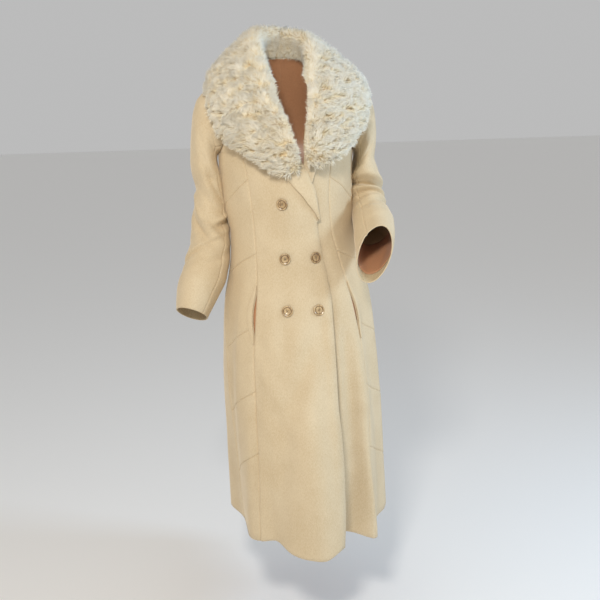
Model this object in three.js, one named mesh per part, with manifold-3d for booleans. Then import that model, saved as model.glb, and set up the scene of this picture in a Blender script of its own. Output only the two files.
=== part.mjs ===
// A long double-breasted coat with a large fur collar, as it stands when it is worn: a hollow
// form with open neck, cuffs and hem. Millimetres, +Z up. The wearer faces -Y, so the wearer's
// right side is at -X. The origin is in the middle of the neck, where the wearer holds it up.
import * as THREE from "three";
import Module from "manifold-3d";

const wasm = await Module();
wasm.setup();

// Cloth and seams.
const CLOTH = 2.4; // heavy wool coating
const LINING = 1.2; // sleeve lining and pocket cloth
const SEAM = 0.5; // gap between two pieces that are sewn together
const LAY = 0.7; // gap between two pieces that lie on each other

// Levels and colours.
const ARMPIT_Z = -250; // where the armholes begin
const FLARE_Z = -560; // where the skirt begins to flute
const FLARE_POWER = 1.7; // how slowly the flutes grow below it
const SECTION_POWER = 2.15; // a body section is an ellipse with slightly full corners
const WOOL = "#cdb894";
const FUR = "#e9e2cf";
const HORN = "#b9a27a";
const SATIN = "#b5794f";

// Half sizes of the body at each height, and how far its middle stands from the neck's.
const BODY = [
  { z: -1240, side: 206, front: 256, back: 228, lean: 12 },
  { z: -1100, side: 206, front: 252, back: 212, lean: 11 },
  { z: -980, side: 205, front: 241, back: 196, lean: 9 },
  { z: -860, side: 203, front: 226, back: 180, lean: 6 },
  { z: -740, side: 197, front: 207, back: 164, lean: 5 },
  { z: -620, side: 187, front: 183, back: 144, lean: 5 },
  { z: -560, side: 172, front: 170, back: 124, lean: 2 },
  { z: -500, side: 157, front: 160, back: 104, lean: -4 },
  { z: -430, side: 147, front: 157, back: 92, lean: -9 },
  { z: -360, side: 150, front: 161, back: 96, lean: -11 },
  { z: -300, side: 157, front: 160, back: 106, lean: -12 },
  { z: -250, side: 166, front: 149, back: 116, lean: -13 },
];

// The hem seen from above, going round from the back by the wearer's right to the back again.
const HEM = [
  { angle: -180, radius: 236, z: -1196 },
  { angle: -163, radius: 268, z: -1190 },
  { angle: -146, radius: 300, z: -1186 },
  { angle: -130, radius: 240, z: -1196 },
  { angle: -112, radius: 200, z: -1206 },
  { angle: -97, radius: 190, z: -1212 },
  { angle: -82, radius: 170, z: -1216 },
  { angle: -68, radius: 168, z: -1218 },
  { angle: -54, radius: 188, z: -1220 },
  { angle: -40, radius: 224, z: -1222 },
  { angle: -31, radius: 226, z: -1220 },
  { angle: -21, radius: 222, z: -1216 },
  { angle: -10, radius: 264, z: -1230 },
  { angle: 0, radius: 286, z: -1236 },
  { angle: 8, radius: 289, z: -1238 },
  { angle: 15, radius: 272, z: -1222 },
  { angle: 22, radius: 250, z: -1210 },
  { angle: 32, radius: 240, z: -1216 },
  { angle: 40, radius: 268, z: -1228 },
  { angle: 50, radius: 240, z: -1222 },
  { angle: 60, radius: 222, z: -1214 },
  { angle: 74, radius: 232, z: -1212 },
  { angle: 88, radius: 235, z: -1206 },
  { angle: 104, radius: 226, z: -1202 },
  { angle: 120, radius: 246, z: -1196 },
  { angle: 138, radius: 290, z: -1188 },
  { angle: 156, radius: 252, z: -1192 },
  { angle: 180, radius: 236, z: -1196 },
];

// How far the hem of the left front, which lies underneath, falls behind that line.
const UNDER_HEM = [
  { angle: -30, behind: 0 },
  { angle: -18, behind: 8 },
  { angle: -6, behind: 32 },
  { angle: 8, behind: 58 },
  { angle: 20, behind: 46 },
  { angle: 29, behind: 26 },
  { angle: 38, behind: 2 },
  { angle: 48, behind: 0 },
];

// Seam lines that run from the hem to the armpit, as angles round the body.
const SEAMS = [
  { z: -1240, princessR: -32.5, princessL: 40, sideR: -70, sideL: 88, backR: -150, backL: 150 },
  { z: -985, princessR: -34, princessL: 41.5, sideR: -71, sideL: 88, backR: -149, backL: 149 },
  { z: -840, princessR: -35.5, princessL: 44, sideR: -73, sideL: 88, backR: -148, backL: 148 },
  { z: -720, princessR: -37, princessL: 44, sideR: -76, sideL: 88, backR: -147, backL: 147 },
  { z: -600, princessR: -38, princessL: 41, sideR: -80, sideL: 88, backR: -146, backL: 146 },
  { z: -500, princessR: -38.5, princessL: 39, sideR: -84, sideL: 88, backR: -146, backL: 146 },
  { z: -427, princessR: -39, princessL: 35, sideR: -87, sideL: 89, backR: -145, backL: 145 },
  { z: -320, princessR: -41, princessL: 34, sideR: -89, sideL: 90, backR: -143, backL: 143 },
  { z: -250, princessR: -46, princessL: 38, sideR: -90, sideL: 90, backR: -140, backL: 140 },
];

// The slanting seams of each side panel: their height at the princess seam, and their drop.
const SLANTS = [
  { z: -987, drop: 92 },
  { z: -828, drop: 84 },
  { z: -667, drop: 78 },
  { z: -490, drop: 62 },
  { z: -308, drop: 84 },
];

// The front edges below the point where the lapels break, as angles.
const BREAK_Z = -412;
const FRONT_EDGE = [
  { z: -1240, right: 16.5, left: -15 },
  { z: -1020, right: 17.5, left: -15 },
  { z: -845, right: 17.7, left: -16 },
  { z: -674, right: 19.5, left: -18 },
  { z: -578, right: 21.3, left: -20 },
  { z: -482, right: 21.2, left: -20 },
  { z: -412, right: 18.5, left: -17 },
];

// Above it each front ends at its roll line, and the lapel lies back from there: x by height.
const LAPEL_RIGHT = [
  { z: -408, roll: 50, edge: 47 },
  { z: -397, roll: 48.5, edge: 42 },
  { z: -383, roll: 46, edge: 33 },
  { z: -366, roll: 44, edge: 20 },
  { z: -347, roll: 41, edge: 7 },
  { z: -331, roll: 37, edge: -7 },
  { z: -311, roll: 28, edge: -24 },
  { z: -296, roll: 22, edge: -36 },
  { z: -280, roll: 14, edge: -47 },
  { z: -264, roll: 7, edge: -56 },
];
const LAPEL_LEFT = [
  { z: -406, roll: -47, edge: -45 },
  { z: -383, roll: -33, edge: -20 },
  { z: -362, roll: -21, edge: 2 },
  { z: -347, roll: -12, edge: 14 },
  { z: -331, roll: -5, edge: 24 },
  { z: -314, roll: 2, edge: 32 },
  { z: -298, roll: 8, edge: 38 },
  { z: -281, roll: 13, edge: 50 },
  { z: -264, roll: 17, edge: 60 },
];
const V_EDGE_X = { right: -2, left: 18 }; // where the two fronts' edges pass the armpits' height

// Shoulders: the seam from the neck to the top of the armhole, and the neck opening.
const SHOULDER = { neckX: 73, neckY: 0, neckZ: -34, tipX: 187, tipY: 6, tipZ: -96, lean: -14 };
const NECK = { halfWidth: 73, back: 68, backZ: -18 };
const PRINCESS_SHARE = 0.5; // where the princess seams meet the shoulder seam

// The armhole, as waves of the angle round it from its top by the front to its bottom.
const ARMHOLE = { x: 163.3, xTurn: 10.5, xSaddle: 13.2, y: 4, halfDepth: 72, z: -173, halfHeight: 77 };
const ARMHOLE_GAP = 0.9;

// Sleeve sections: the middle, the half axis towards the outside and the one towards the front.
const SLEEVE_RIGHT = [
  { x: -203, y: 5, z: -180, ux: -17, uz: 76, vx: 0, vy: -72, vz: 0 },
  { x: -210.5, y: 6, z: -193, ux: -23, uz: 71, vx: 0, vy: -70, vz: 0 },
  { x: -215.5, y: 7, z: -214, ux: -28, uz: 62, vx: 0, vy: -68, vz: 0 },
  { x: -217.5, y: 8, z: -242, ux: -32, uz: 50, vx: 0, vy: -67, vz: 0 },
  { x: -218, y: 10, z: -277, ux: -36, uz: 37, vx: 0, vy: -66, vz: 0 },
  { x: -216, y: 13, z: -315, ux: -39, uz: 25, vx: 0, vy: -65, vz: 1 },
  { x: -209.5, y: 16, z: -349, ux: -37.5, uz: 14, vx: 0, vy: -64, vz: 2 },
  { x: -209, y: 18, z: -379, ux: -42, uz: 8, vx: 0, vy: -66, vz: 4 },
  { x: -211.5, y: 17, z: -410, ux: -46.5, uz: 3, vx: 0, vy: -68, vz: 8 },
  { x: -212.5, y: 12, z: -443, ux: -49.5, uz: -1, vx: 0, vy: -69, vz: 13 },
  { x: -214.5, y: 2, z: -477, ux: -52.5, uz: -2, vx: 0, vy: -68, vz: 18 },
  { x: -221, y: -10, z: -509, ux: -57, uz: -1, vx: 0, vy: -67, vz: 22 },
  { x: -230, y: -24, z: -542, ux: -59, uz: 1, vx: 0, vy: -66, vz: 25 },
  { x: -241, y: -38, z: -574, ux: -59, uz: 5, vx: 0, vy: -65, vz: 27 },
  { x: -255, y: -52, z: -608, ux: -51, uz: 8, vx: 0, vy: -64, vz: 27 },
  { x: -269, y: -64, z: -648, ux: -39, uz: 13, vx: 0, vy: -62, vz: 27 },
];
const SLEEVE_LEFT = [
  { x: 175, y: 5, z: -180, ux: 15, uz: 76, vx: 0, vy: -72, vz: 0 },
  { x: 182.5, y: 5, z: -193, ux: 20.5, uz: 71, vx: 0, vy: -70, vz: 0 },
  { x: 187, y: 5, z: -214, ux: 25, uz: 62, vx: 0, vy: -68, vz: 1 },
  { x: 188.5, y: 5, z: -242, ux: 28.5, uz: 50, vx: 0, vy: -67, vz: 4 },
  { x: 186.5, y: 6, z: -275, ux: 30.5, uz: 33, vx: 0, vy: -65, vz: 12 },
  { x: 183, y: 10, z: -309, ux: 31, uz: 18, vx: 0, vy: -64, vz: 16 },
  { x: 189, y: 13, z: -343, ux: 38, uz: 7, vx: 0, vy: -64, vz: 20 },
  { x: 193, y: 11, z: -375, ux: 43, uz: 2, vx: 0, vy: -59, vz: 30 },
  { x: 194, y: -7, z: -398, ux: 44, uz: 0, vx: 0, vy: -54, vz: 41 },
  { x: 193, y: -37, z: -412, ux: 45, uz: 0, vx: 2, vy: -46, vz: 49 },
  { x: 192, y: -73, z: -424, ux: 47, uz: 0, vx: 3, vy: -37, vz: 52 },
  { x: 190, y: -111, z: -438, ux: 49, uz: 0, vx: 5, vy: -28, vz: 55 },
  { x: 186, y: -148, z: -454, ux: 49, uz: 0, vx: 8, vy: -19, vz: 58 },
  { x: 181, y: -185, z: -471, ux: 46, uz: 0, vx: 11, vy: -10, vz: 64 },
  { x: 173, y: -218, z: -487, ux: 42, uz: 2, vx: 13, vy: -2, vz: 70 },
];

// Large folds of each sleeve: where they lie along it (as a section's number) and round it
// (degrees from the outside by the front), their reach both ways, their slant in sections for
// each radian, and how far they stand out or, below zero, sink in.
const SLEEVE_RIGHT_FOLDS = [
  { at: 6.3, round: 60, long: 0.42, wide: 95, slant: -0.8, depth: -6 },
  { at: 8.6, round: 40, long: 0.5, wide: 55, slant: 1.5, depth: 6 },
  { at: 9.1, round: 140, long: 0.5, wide: 50, slant: -1.6, depth: 6 },
  { at: 9.4, round: 55, long: 0.5, wide: 60, slant: 1.5, depth: -7 },
  { at: 11.3, round: 45, long: 0.5, wide: 75, slant: -0.9, depth: -6 },
  { at: 12.1, round: 100, long: 0.6, wide: 80, slant: -0.7, depth: 4 },
  { at: 8.2, round: 250, long: 0.5, wide: 70, slant: 0.9, depth: -5 },
  { at: 9.6, round: 270, long: 0.5, wide: 80, slant: -0.7, depth: -5 },
];
const SLEEVE_LEFT_FOLDS = [
  { at: 6.0, round: 75, long: 0.45, wide: 110, slant: -0.35, depth: 7 },
  { at: 7.1, round: 85, long: 0.4, wide: 100, slant: -0.45, depth: -14 },
  { at: 8.1, round: 95, long: 0.45, wide: 80, slant: -0.3, depth: 5 },
  { at: 9.0, round: 100, long: 0.45, wide: 70, slant: 0.4, depth: -5 },
  { at: 10.3, round: 60, long: 0.6, wide: 70, slant: 0.7, depth: -4 },
  { at: 5.1, round: 330, long: 0.5, wide: 70, slant: 0.4, depth: -4 },
  { at: 9.2, round: 275, long: 0.6, wide: 70, slant: 0.5, depth: -5 },
];

// The collar's skin, from the wearer's right tip round the back of the neck to the left tip:
// its roll line, its outer edge, how far it arches between them, and how deep it stands.
const COLLAR = [
  { rx: -10, ry: -175, rz: -286, ex: -32, ey: -177, ez: -293, arch: 1, stand: 4 },
  { rx: -7, ry: -173, rz: -268, ex: -64, ey: -172, ez: -285, arch: 2, stand: 4 },
  { rx: -9, ry: -168, rz: -242, ex: -106, ey: -152, ez: -257, arch: 5, stand: 5 },
  { rx: -25, ry: -153, rz: -194, ex: -152, ey: -117, ez: -224, arch: 10, stand: 6 },
  { rx: -44, ry: -129, rz: -144, ex: -183, ey: -90, ez: -184, arch: 14, stand: 8 },
  { rx: -62, ry: -92, rz: -94, ex: -196, ey: -72, ez: -148, arch: 16, stand: 14 },
  { rx: -74, ry: -46, rz: -42, ex: -200, ey: -44, ez: -114, arch: 14, stand: 26 },
  { rx: -83, ry: -6, rz: 2, ex: -198, ey: 6, ez: -86, arch: 9, stand: 36 },
  { rx: -81, ry: 28, rz: 24, ex: -190, ey: 52, ez: -96, arch: 14, stand: 48 },
  { rx: -66, ry: 58, rz: 36, ex: -164, ey: 99, ez: -120, arch: 20, stand: 54 },
  { rx: -40, ry: 76, rz: 40, ex: -112, ey: 131, ez: -142, arch: 24, stand: 56 },
  { rx: -12, ry: 82, rz: 38, ex: -46, ey: 148, ez: -152, arch: 25, stand: 54 },
  { rx: 14, ry: 77, rz: 33, ex: 26, ey: 148, ez: -152, arch: 25, stand: 50 },
  { rx: 36, ry: 60, rz: 26, ex: 88, ey: 131, ez: -142, arch: 23, stand: 46 },
  { rx: 50, ry: 32, rz: 15, ex: 138, ey: 98, ez: -120, arch: 19, stand: 42 },
  { rx: 55, ry: 0, rz: -2, ex: 164, ey: 52, ez: -96, arch: 14, stand: 34 },
  { rx: 53, ry: -38, rz: -34, ex: 174, ey: 4, ez: -84, arch: 10, stand: 26 },
  { rx: 49, ry: -78, rz: -78, ex: 181, ey: -44, ez: -110, arch: 14, stand: 14 },
  { rx: 41, ry: -116, rz: -126, ex: 178, ey: -82, ez: -146, arch: 14, stand: 8 },
  { rx: 34, ry: -142, rz: -176, ex: 163, ey: -112, ez: -184, arch: 12, stand: 6 },
  { rx: 28, ry: -160, rz: -222, ex: 138, ey: -136, ez: -218, arch: 8, stand: 5 },
  { rx: 26, ry: -170, rz: -250, ex: 104, ey: -156, ez: -250, arch: 4, stand: 4 },
  { rx: 28, ry: -173, rz: -268, ex: 66, ey: -170, ez: -271, arch: 1, stand: 4 },
];
const FUR_DEPTH = 20; // from the skin to the tips of the fur
const FUR_EDGE_DEPTH = 3;
const FUR_TUFT = 2.4; // how far the larger tufts stand out or sink in
const UNDER_COLLAR_INSET = 0.4; // the cloth under it stops this share of a step short of its edge

// Pockets in the princess seams.
const POCKET = { top: -572, bottom: -706, gape: 8, lip: 15, lap: 16 };

// Buttons.
const BUTTON = { radius: 14, thick: 3.6, hole: 1.15, holeAt: 2.6 };
const BUTTONS = [
  { name: "button_top", x: -41, z: -366, rise: 0.2 },
  { name: "button_middle_inner", x: -37, z: -500, rise: 0.85 },
  { name: "button_middle_outer", x: 38, z: -500, rise: 0.85 },
  { name: "button_bottom_inner", x: -37, z: -625, rise: 0.2 },
  { name: "button_bottom_outer", x: 40, z: -625, rise: 0.2 },
];

// Counts of steps in the meshes.
const ROWS_IN_PIECE = 4;
const ROWS_IN_TOP_PIECE = 3;
const UPPER_ROWS = 8;
const FRONT_COLUMNS = 8;
const SIDE_COLUMNS = 4;
const BACK_COLUMNS = 4;
const SIDE_BACK_COLUMNS = 5;
const SLEEVE_ROWS = 24;
const SLEEVE_AROUND = 16;
const COLLAR_COLUMNS = 34;
const STAND_ROWS = 2;
const FALL_ROWS = 7;

const V = (x, y, z) => new THREE.Vector3(x, y, z);
const radians = THREE.MathUtils.degToRad;
const mix = THREE.MathUtils.lerp;
const between = (value, low, high) => THREE.MathUtils.clamp((value - low) / (high - low), 0, 1);
const smooth = (value, low, high) => THREE.MathUtils.smoothstep(value, low, high);
const steps = (count) => Array.from({ length: count + 1 }, (_, i) => i / count);

// A smooth curve through one column of a table, read at any value of another column.
function curve(table, along, name) {
  const rows = table[0][along] < table[table.length - 1][along] ? table : [...table].reverse();
  const t = rows.map((row) => row[along]);
  const v = rows.map((row) => row[name]);
  const last = t.length - 1;
  const slope = (i) => {
    if (i === 0) return (v[1] - v[0]) / (t[1] - t[0]);
    if (i === last) return (v[last] - v[last - 1]) / (t[last] - t[last - 1]);
    return (v[i + 1] - v[i - 1]) / (t[i + 1] - t[i - 1]);
  };
  return (at) => {
    if (at <= t[0]) return v[0];
    if (at >= t[last]) return v[last];
    let i = 0;
    while (at > t[i + 1]) i += 1;
    const h = t[i + 1] - t[i];
    const s = (at - t[i]) / h;
    const bend = s * (1 - s);
    const ease = s * s * (3 - 2 * s);
    return (
      mix(v[i], v[i + 1], ease) +
      h * bend * ((1 - s) * slope(i) - s * slope(i + 1))
    );
  };
}
const curves = (table, along, names) =>
  Object.fromEntries(names.map((name) => [name, curve(table, along, name)]));

const body = curves(BODY, "z", ["side", "front", "back", "lean"]);
const hem = curves(HEM, "angle", ["radius", "z"]);
const underHem = curve(UNDER_HEM, "angle", "behind");
const seam = curves(SEAMS, "z", ["princessR", "princessL", "sideR", "sideL", "backR", "backL"]);
const frontEdge = curves(FRONT_EDGE, "z", ["right", "left"]);
const lapelRight = curves(LAPEL_RIGHT, "z", ["roll", "edge"]);
const lapelLeft = curves(LAPEL_LEFT, "z", ["roll", "edge"]);

// How far each front stands out from the body where the two lie on each other.
const OVERLAP_OUT = 2.1;
const LAPEL_OUT = 6;
function layerOut(layer, angle, z) {
  if (layer === "right") {
    const nearMiddle = smooth(angle, -38, -18);
    const byLapel = smooth(angle, -24, -4) * smooth(z, -450, -390);
    return OVERLAP_OUT * nearMiddle + LAPEL_OUT * byLapel;
  }
  if (layer === "left") return -OVERLAP_OUT * (1 - smooth(angle, 16, 34));
  return 0;
}

// A point of a surface, moved out along the surface's own normal.
function movedOut(surface, u, v, stepU, stepV, out) {
  const point = surface(u, v);
  if (out === 0) return point;
  const along = surface(u + stepU, v).sub(surface(u - stepU, v));
  const up = surface(u, v + stepV).sub(surface(u, v - stepV));
  return point.addScaledVector(along.cross(up).normalize(), out);
}

// A point of the body's outside at an angle round it and a height. Angle 0 is the front.
function bodySurface(angle, z, layer) {
  const a = radians(angle);
  const across = Math.abs(Math.sin(a)) / body.side(z);
  const depth = Math.abs(Math.cos(a)) / (Math.abs(angle) < 90 ? body.front(z) : body.back(z));
  const ring = (across ** SECTION_POWER + depth ** SECTION_POWER) ** (-1 / SECTION_POWER);
  const share = between(z, FLARE_Z, hem.z(angle)) ** FLARE_POWER;
  let radius = mix(ring, hem.radius(angle), share);
  if (layer === "left") radius -= underHem(angle) * share;
  radius += layerOut(layer, angle, z);
  return V(radius * Math.sin(a) + body.lean(z) * (1 - share), -radius * Math.cos(a), z);
}
function bodyPoint(angle, z, layer = "none", out = 0) {
  const point = bodySurface(angle, z, layer);
  const plain = bodySurface(angle, z, "none");
  const shift = movedOut((a, h) => bodySurface(a, h, "none"), angle, z, 5, 12, out).sub(plain);
  return point.add(shift);
}

// The angle at which a front passes a given x at a given height.
function angleAtX(x, z, layer) {
  let low = -60;
  let high = 60;
  for (let i = 0; i < 30; i += 1) {
    const middle = (low + high) / 2;
    if (bodyPoint(middle, z, layer).x < x) low = middle;
    else high = middle;
  }
  return (low + high) / 2;
}
const frontPoint = (x, z, layer, out = 0) => bodyPoint(angleAtX(x, z, layer), z, layer, out);

// Each front's free edge: a plain edge below the lapel's break, the roll line above it.
function frontEdgeAngle(side, z) {
  const roll = side === "right" ? lapelRight.roll : lapelLeft.roll;
  if (z <= BREAK_Z) return frontEdge[side](z);
  if (z >= LAPEL_TOP) {
    const share = between(z, LAPEL_TOP, ARMPIT_Z);
    return angleAtX(mix(roll(LAPEL_TOP), V_EDGE_X[side], share), z, side);
  }
  const plain = frontEdge[side](BREAK_Z);
  return mix(plain, angleAtX(roll(z), z, side), smooth(z, BREAK_Z, BREAK_Z + 8));
}
const LAPEL_TOP = -264;

// The shoulder seam from the tip (0) to the neck (1), and the neck opening to the back (2).
function shoulderPoint(share, hand) {
  const s = SHOULDER;
  if (share <= 1) {
    return V(
      s.lean + hand * mix(s.tipX, s.neckX, share),
      mix(s.tipY, s.neckY, share),
      mix(s.tipZ, s.neckZ, share),
    );
  }
  const turn = ((share - 1) * Math.PI) / 2;
  return V(
    s.lean + hand * NECK.halfWidth * Math.cos(turn),
    NECK.back * Math.sin(turn),
    mix(s.neckZ, NECK.backZ, Math.sin(turn)),
  );
}

// The armhole's edge at an angle from its top (0) by the front (90) to its bottom (180).
function armholePoint(angle, hand, out = 0) {
  const a = radians(angle);
  const h = ARMHOLE;
  const x = h.x + h.xTurn * Math.cos(a) + h.xSaddle * Math.cos(2 * a);
  return V(
    SHOULDER.lean + hand * (x + out),
    h.y - h.halfDepth * Math.sin(a),
    h.z + h.halfHeight * Math.cos(a),
  );
}

// A line up the chest or back from the armpits' height to the shoulder, full below and
// rounding over at the top.
const ROUND_OVER = 0.8;
function risingPoint(low, high, share) {
  const fullness = Math.sin(((1 - share) * Math.PI) / 2) ** ROUND_OVER;
  return V(mix(low.x, high.x, share), mix(high.y, low.y, fullness), mix(low.z, high.z, share));
}

// A point above the armpits, moved out from the middle of the chest.
const CHEST = V(-14, 0, -235);
const awayFromChest = (point, out) =>
  point.clone().addScaledVector(point.clone().sub(CHEST).normalize(), out);

// A grid of points moved along its own normals. Rows go up and columns go round.
function moved(grid, out) {
  const rows = grid.length - 1;
  const columns = grid[0].length - 1;
  return grid.map((row, i) =>
    row.map((point, j) => {
      const up = grid[Math.min(i + 1, rows)][j].clone().sub(grid[Math.max(i - 1, 0)][j]);
      const next = grid[i][Math.min(j + 1, columns)];
      const round = next.clone().sub(grid[i][Math.max(j - 1, 0)]);
      const distance = typeof out === "function" ? out(i, j) : out;
      return point.clone().addScaledVector(round.cross(up).normalize(), distance);
    }),
  );
}

// A closed wall between an outer and an inner grid. Grids whose first and last columns agree
// make a tube.
function wallBetween(outer, inner) {
  const rows = outer.length;
  const tube = outer[0][0].distanceTo(outer[0][outer[0].length - 1]) < 1e-6;
  const columns = outer[0].length - (tube ? 1 : 0);
  const position = [];
  for (const grid of [outer, inner]) {
    for (const row of grid) for (const p of row.slice(0, columns)) position.push(p.x, p.y, p.z);
  }
  const at = (layer, i, j) => layer * rows * columns + i * columns + (j % columns);
  const index = [];
  const quad = (a, b, c, d) => index.push(a, b, c, a, c, d);
  const spans = tube ? columns : columns - 1;
  for (let i = 0; i < rows - 1; i += 1) {
    for (let j = 0; j < spans; j += 1) {
      quad(at(0, i, j), at(0, i, j + 1), at(0, i + 1, j + 1), at(0, i + 1, j));
      quad(at(1, i, j), at(1, i + 1, j), at(1, i + 1, j + 1), at(1, i, j + 1));
    }
    if (!tube) {
      quad(at(0, i, 0), at(0, i + 1, 0), at(1, i + 1, 0), at(1, i, 0));
      const e = columns - 1;
      quad(at(0, i, e), at(1, i, e), at(1, i + 1, e), at(0, i + 1, e));
    }
  }
  for (let j = 0; j < spans; j += 1) {
    quad(at(0, 0, j), at(1, 0, j), at(1, 0, j + 1), at(0, 0, j + 1));
    const e = rows - 1;
    quad(at(0, e, j), at(0, e, j + 1), at(1, e, j + 1), at(1, e, j));
  }
  return facingOut(position, index);
}

// A geometry from points and triangles, turned so that its faces point out.
function facingOut(position, index) {
  const p = (i) => V(position[3 * i], position[3 * i + 1], position[3 * i + 2]);
  let volume = 0;
  for (let i = 0; i < index.length; i += 3) {
    volume += p(index[i]).dot(p(index[i + 1]).cross(p(index[i + 2])));
  }
  if (volume < 0) {
    for (let i = 0; i < index.length; i += 3) {
      [index[i + 1], index[i + 2]] = [index[i + 2], index[i + 1]];
    }
  }
  const geometry = new THREE.BufferGeometry();
  geometry.setAttribute("position", new THREE.Float32BufferAttribute(position, 3));
  geometry.setIndex(index);
  return geometry;
}

// A wall from a function that gives a grid of points at a distance out from the surface.
const wall = (gridAt, thickness = CLOTH) => wallBetween(gridAt(0), gridAt(-thickness));

const coat = new THREE.Group();
function add(name, geometry, colour, roughness = 0.9) {
  const material = new THREE.MeshStandardMaterial({ color: colour, roughness, metalness: 0 });
  const mesh = new THREE.Mesh(geometry, material);
  mesh.name = name;
  coat.add(mesh);
  return mesh;
}

// Half a seam's gap, as an angle, so that two panels stay apart along it.
const gapAngle = (z) => THREE.MathUtils.radToDeg(SEAM / 2 / body.front(z));

// The pocket mouth: how far the side panel's edge falls back from the princess seam.
function pocketGape(z) {
  const share = between(z, POCKET.bottom, POCKET.top);
  return POCKET.gape * Math.sin(Math.PI * share) ** 2;
}
const arcAngle = (length, angle, z) =>
  THREE.MathUtils.radToDeg(length / bodyPoint(angle, z).setZ(0).length());

// The heights of the rows of points up the body. The share is 0 along the princess seams and
// 1 along the side seams, so that the rows meet the ends of the slanting seams.
function rowHeights(hemZ, share) {
  const ends = [hemZ, ...SLANTS.map((row) => row.z - row.drop * share), ARMPIT_Z];
  const heights = [hemZ];
  for (let k = 1; k < ends.length; k += 1) {
    const count = k === ends.length - 1 ? ROWS_IN_TOP_PIECE : ROWS_IN_PIECE;
    for (let i = 1; i <= count; i += 1) heights.push(mix(ends[k - 1], ends[k], i / count));
  }
  return heights;
}
const turned = (columns) => columns[0].map((_, i) => columns.map((column) => column[i]));

// A full-length panel between two seams, given as angles, from the hem to the shoulder line
// between two places on it. The share says which seams its rows follow.
const HEM_LEVEL = -1200;
const TOP_SHARE = 0.992; // stop short of the shoulder seam, where front and back meet
function panelBelow({ from, to, share, layer, columns }, out) {
  return turned(
    steps(columns).map((c) => {
      const hemZ = hem.z(mix(from(HEM_LEVEL), to(HEM_LEVEL), c));
      return rowHeights(hemZ, share).map((z) => {
        const angle = mix(from(z) + gapAngle(z), to(z) - gapAngle(z), c);
        return bodyPoint(angle, z, layer, out);
      });
    }),
  );
}
function longPanel(panel, out) {
  const top = panelBelow(panel, 0).at(-1);
  const upper = steps(UPPER_ROWS).slice(1).map((t) =>
    top.map((base, j) => {
      const place = mix(panel.topFrom, panel.topTo, j / panel.columns);
      const point = risingPoint(base, shoulderPoint(place, panel.hand), t * TOP_SHARE);
      return awayFromChest(point, out);
    }),
  );
  return [...panelBelow(panel, out), ...upper];
}

function addFronts() {
  const right = {
    from: seam.princessR, to: (z) => frontEdgeAngle("right", z), share: 0, hand: -1,
    topFrom: PRINCESS_SHARE + 0.004, topTo: 1, layer: "right", columns: FRONT_COLUMNS,
  };
  add("front_right", wall((out) => longPanel(right, out)), WOOL);
  const left = {
    from: (z) => frontEdgeAngle("left", z), to: seam.princessL, share: 0, hand: 1,
    topFrom: 1, topTo: PRINCESS_SHARE + 0.004, layer: "left", columns: FRONT_COLUMNS,
  };
  add("front_left", wall((out) => longPanel(left, out)), WOOL);
}

// Lapels, each a strip turned back at the roll line and lying on its own front.
const LAPEL_ROWS = 10;
const LAPEL_COLUMNS = 4;
function addLapel(name, side, table, lift) {
  const line = side === "right" ? lapelRight : lapelLeft;
  const low = table[0].z;
  const high = table[table.length - 1].z;
  const gridAt = (out) =>
    steps(LAPEL_ROWS).map((v) => {
      const z = mix(low, high, v);
      return steps(LAPEL_COLUMNS).map((c) => {
        const fromLeft = side === "right" ? line.edge(z) : line.roll(z);
        const toRight = side === "right" ? line.roll(z) : line.edge(z);
        const fold = side === "right" ? 1 - c : c;
        return frontPoint(mix(fromLeft, toRight, c), z, side, lift(z, fold) + out);
      });
    });
  add(name, wall(gridAt), WOOL);
}
const FLAT_LIFT = CLOTH + LAY;
const rightLapelLift = (z, fold) => {
  const atButtonhole = Math.exp(-(((z - BUTTONS[0].z) / 30) ** 2));
  return FLAT_LIFT + (1.6 + 3 * atButtonhole) * Math.min(1, 5 * fold + 0.25);
};
const leftLapelLift = (_, fold) => FLAT_LIFT + 0.3 * Math.sin(Math.PI * fold);

// One side panel, pieced from the hem to the shoulder with slanting seams.
function addSideFront(hand) {
  const word = hand < 0 ? "right" : "left";
  const princess = hand < 0 ? seam.princessR : seam.princessL;
  const side = hand < 0 ? seam.sideR : seam.sideL;
  // The angle at a share across the panel, from the princess seam to the side seam.
  const angleAt = (c, z) => {
    const gape = arcAngle(pocketGape(z), princess(z), z);
    const inner = princess(z) + hand * (gapAngle(z) + gape);
    return mix(inner, side(z) - hand * gapAngle(z), c);
  };
  for (let k = 0; k <= SLANTS.length; k += 1) {
    const isTop = k === SLANTS.length;
    const gridAt = (out) => {
      const grid = turned(
        steps(SIDE_COLUMNS).map((c) => {
          const all = rowHeights(hem.z(angleAt(c, HEM_LEVEL)), c);
          const heights = all.slice(k * ROWS_IN_PIECE, isTop ? undefined : (k + 1) * ROWS_IN_PIECE + 1);
          if (k > 0) heights[0] += SEAM / 2;
          if (!isTop) heights[heights.length - 1] -= SEAM / 2;
          return heights.map((z) => bodyPoint(angleAt(c, z), z, "none", out));
        }),
      );
      if (isTop) {
        const base = steps(SIDE_COLUMNS).map((c) => bodyPoint(angleAt(c, ARMPIT_Z), ARMPIT_Z));
        grid.push(...besideArmhole(base, hand, 1, out));
      }
      return hand < 0 ? grid.map((row) => [...row].reverse()) : grid;
    };
    add(`side_front_${word}_${k + 1}`, wall(gridAt), WOOL);
  }
}

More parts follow.
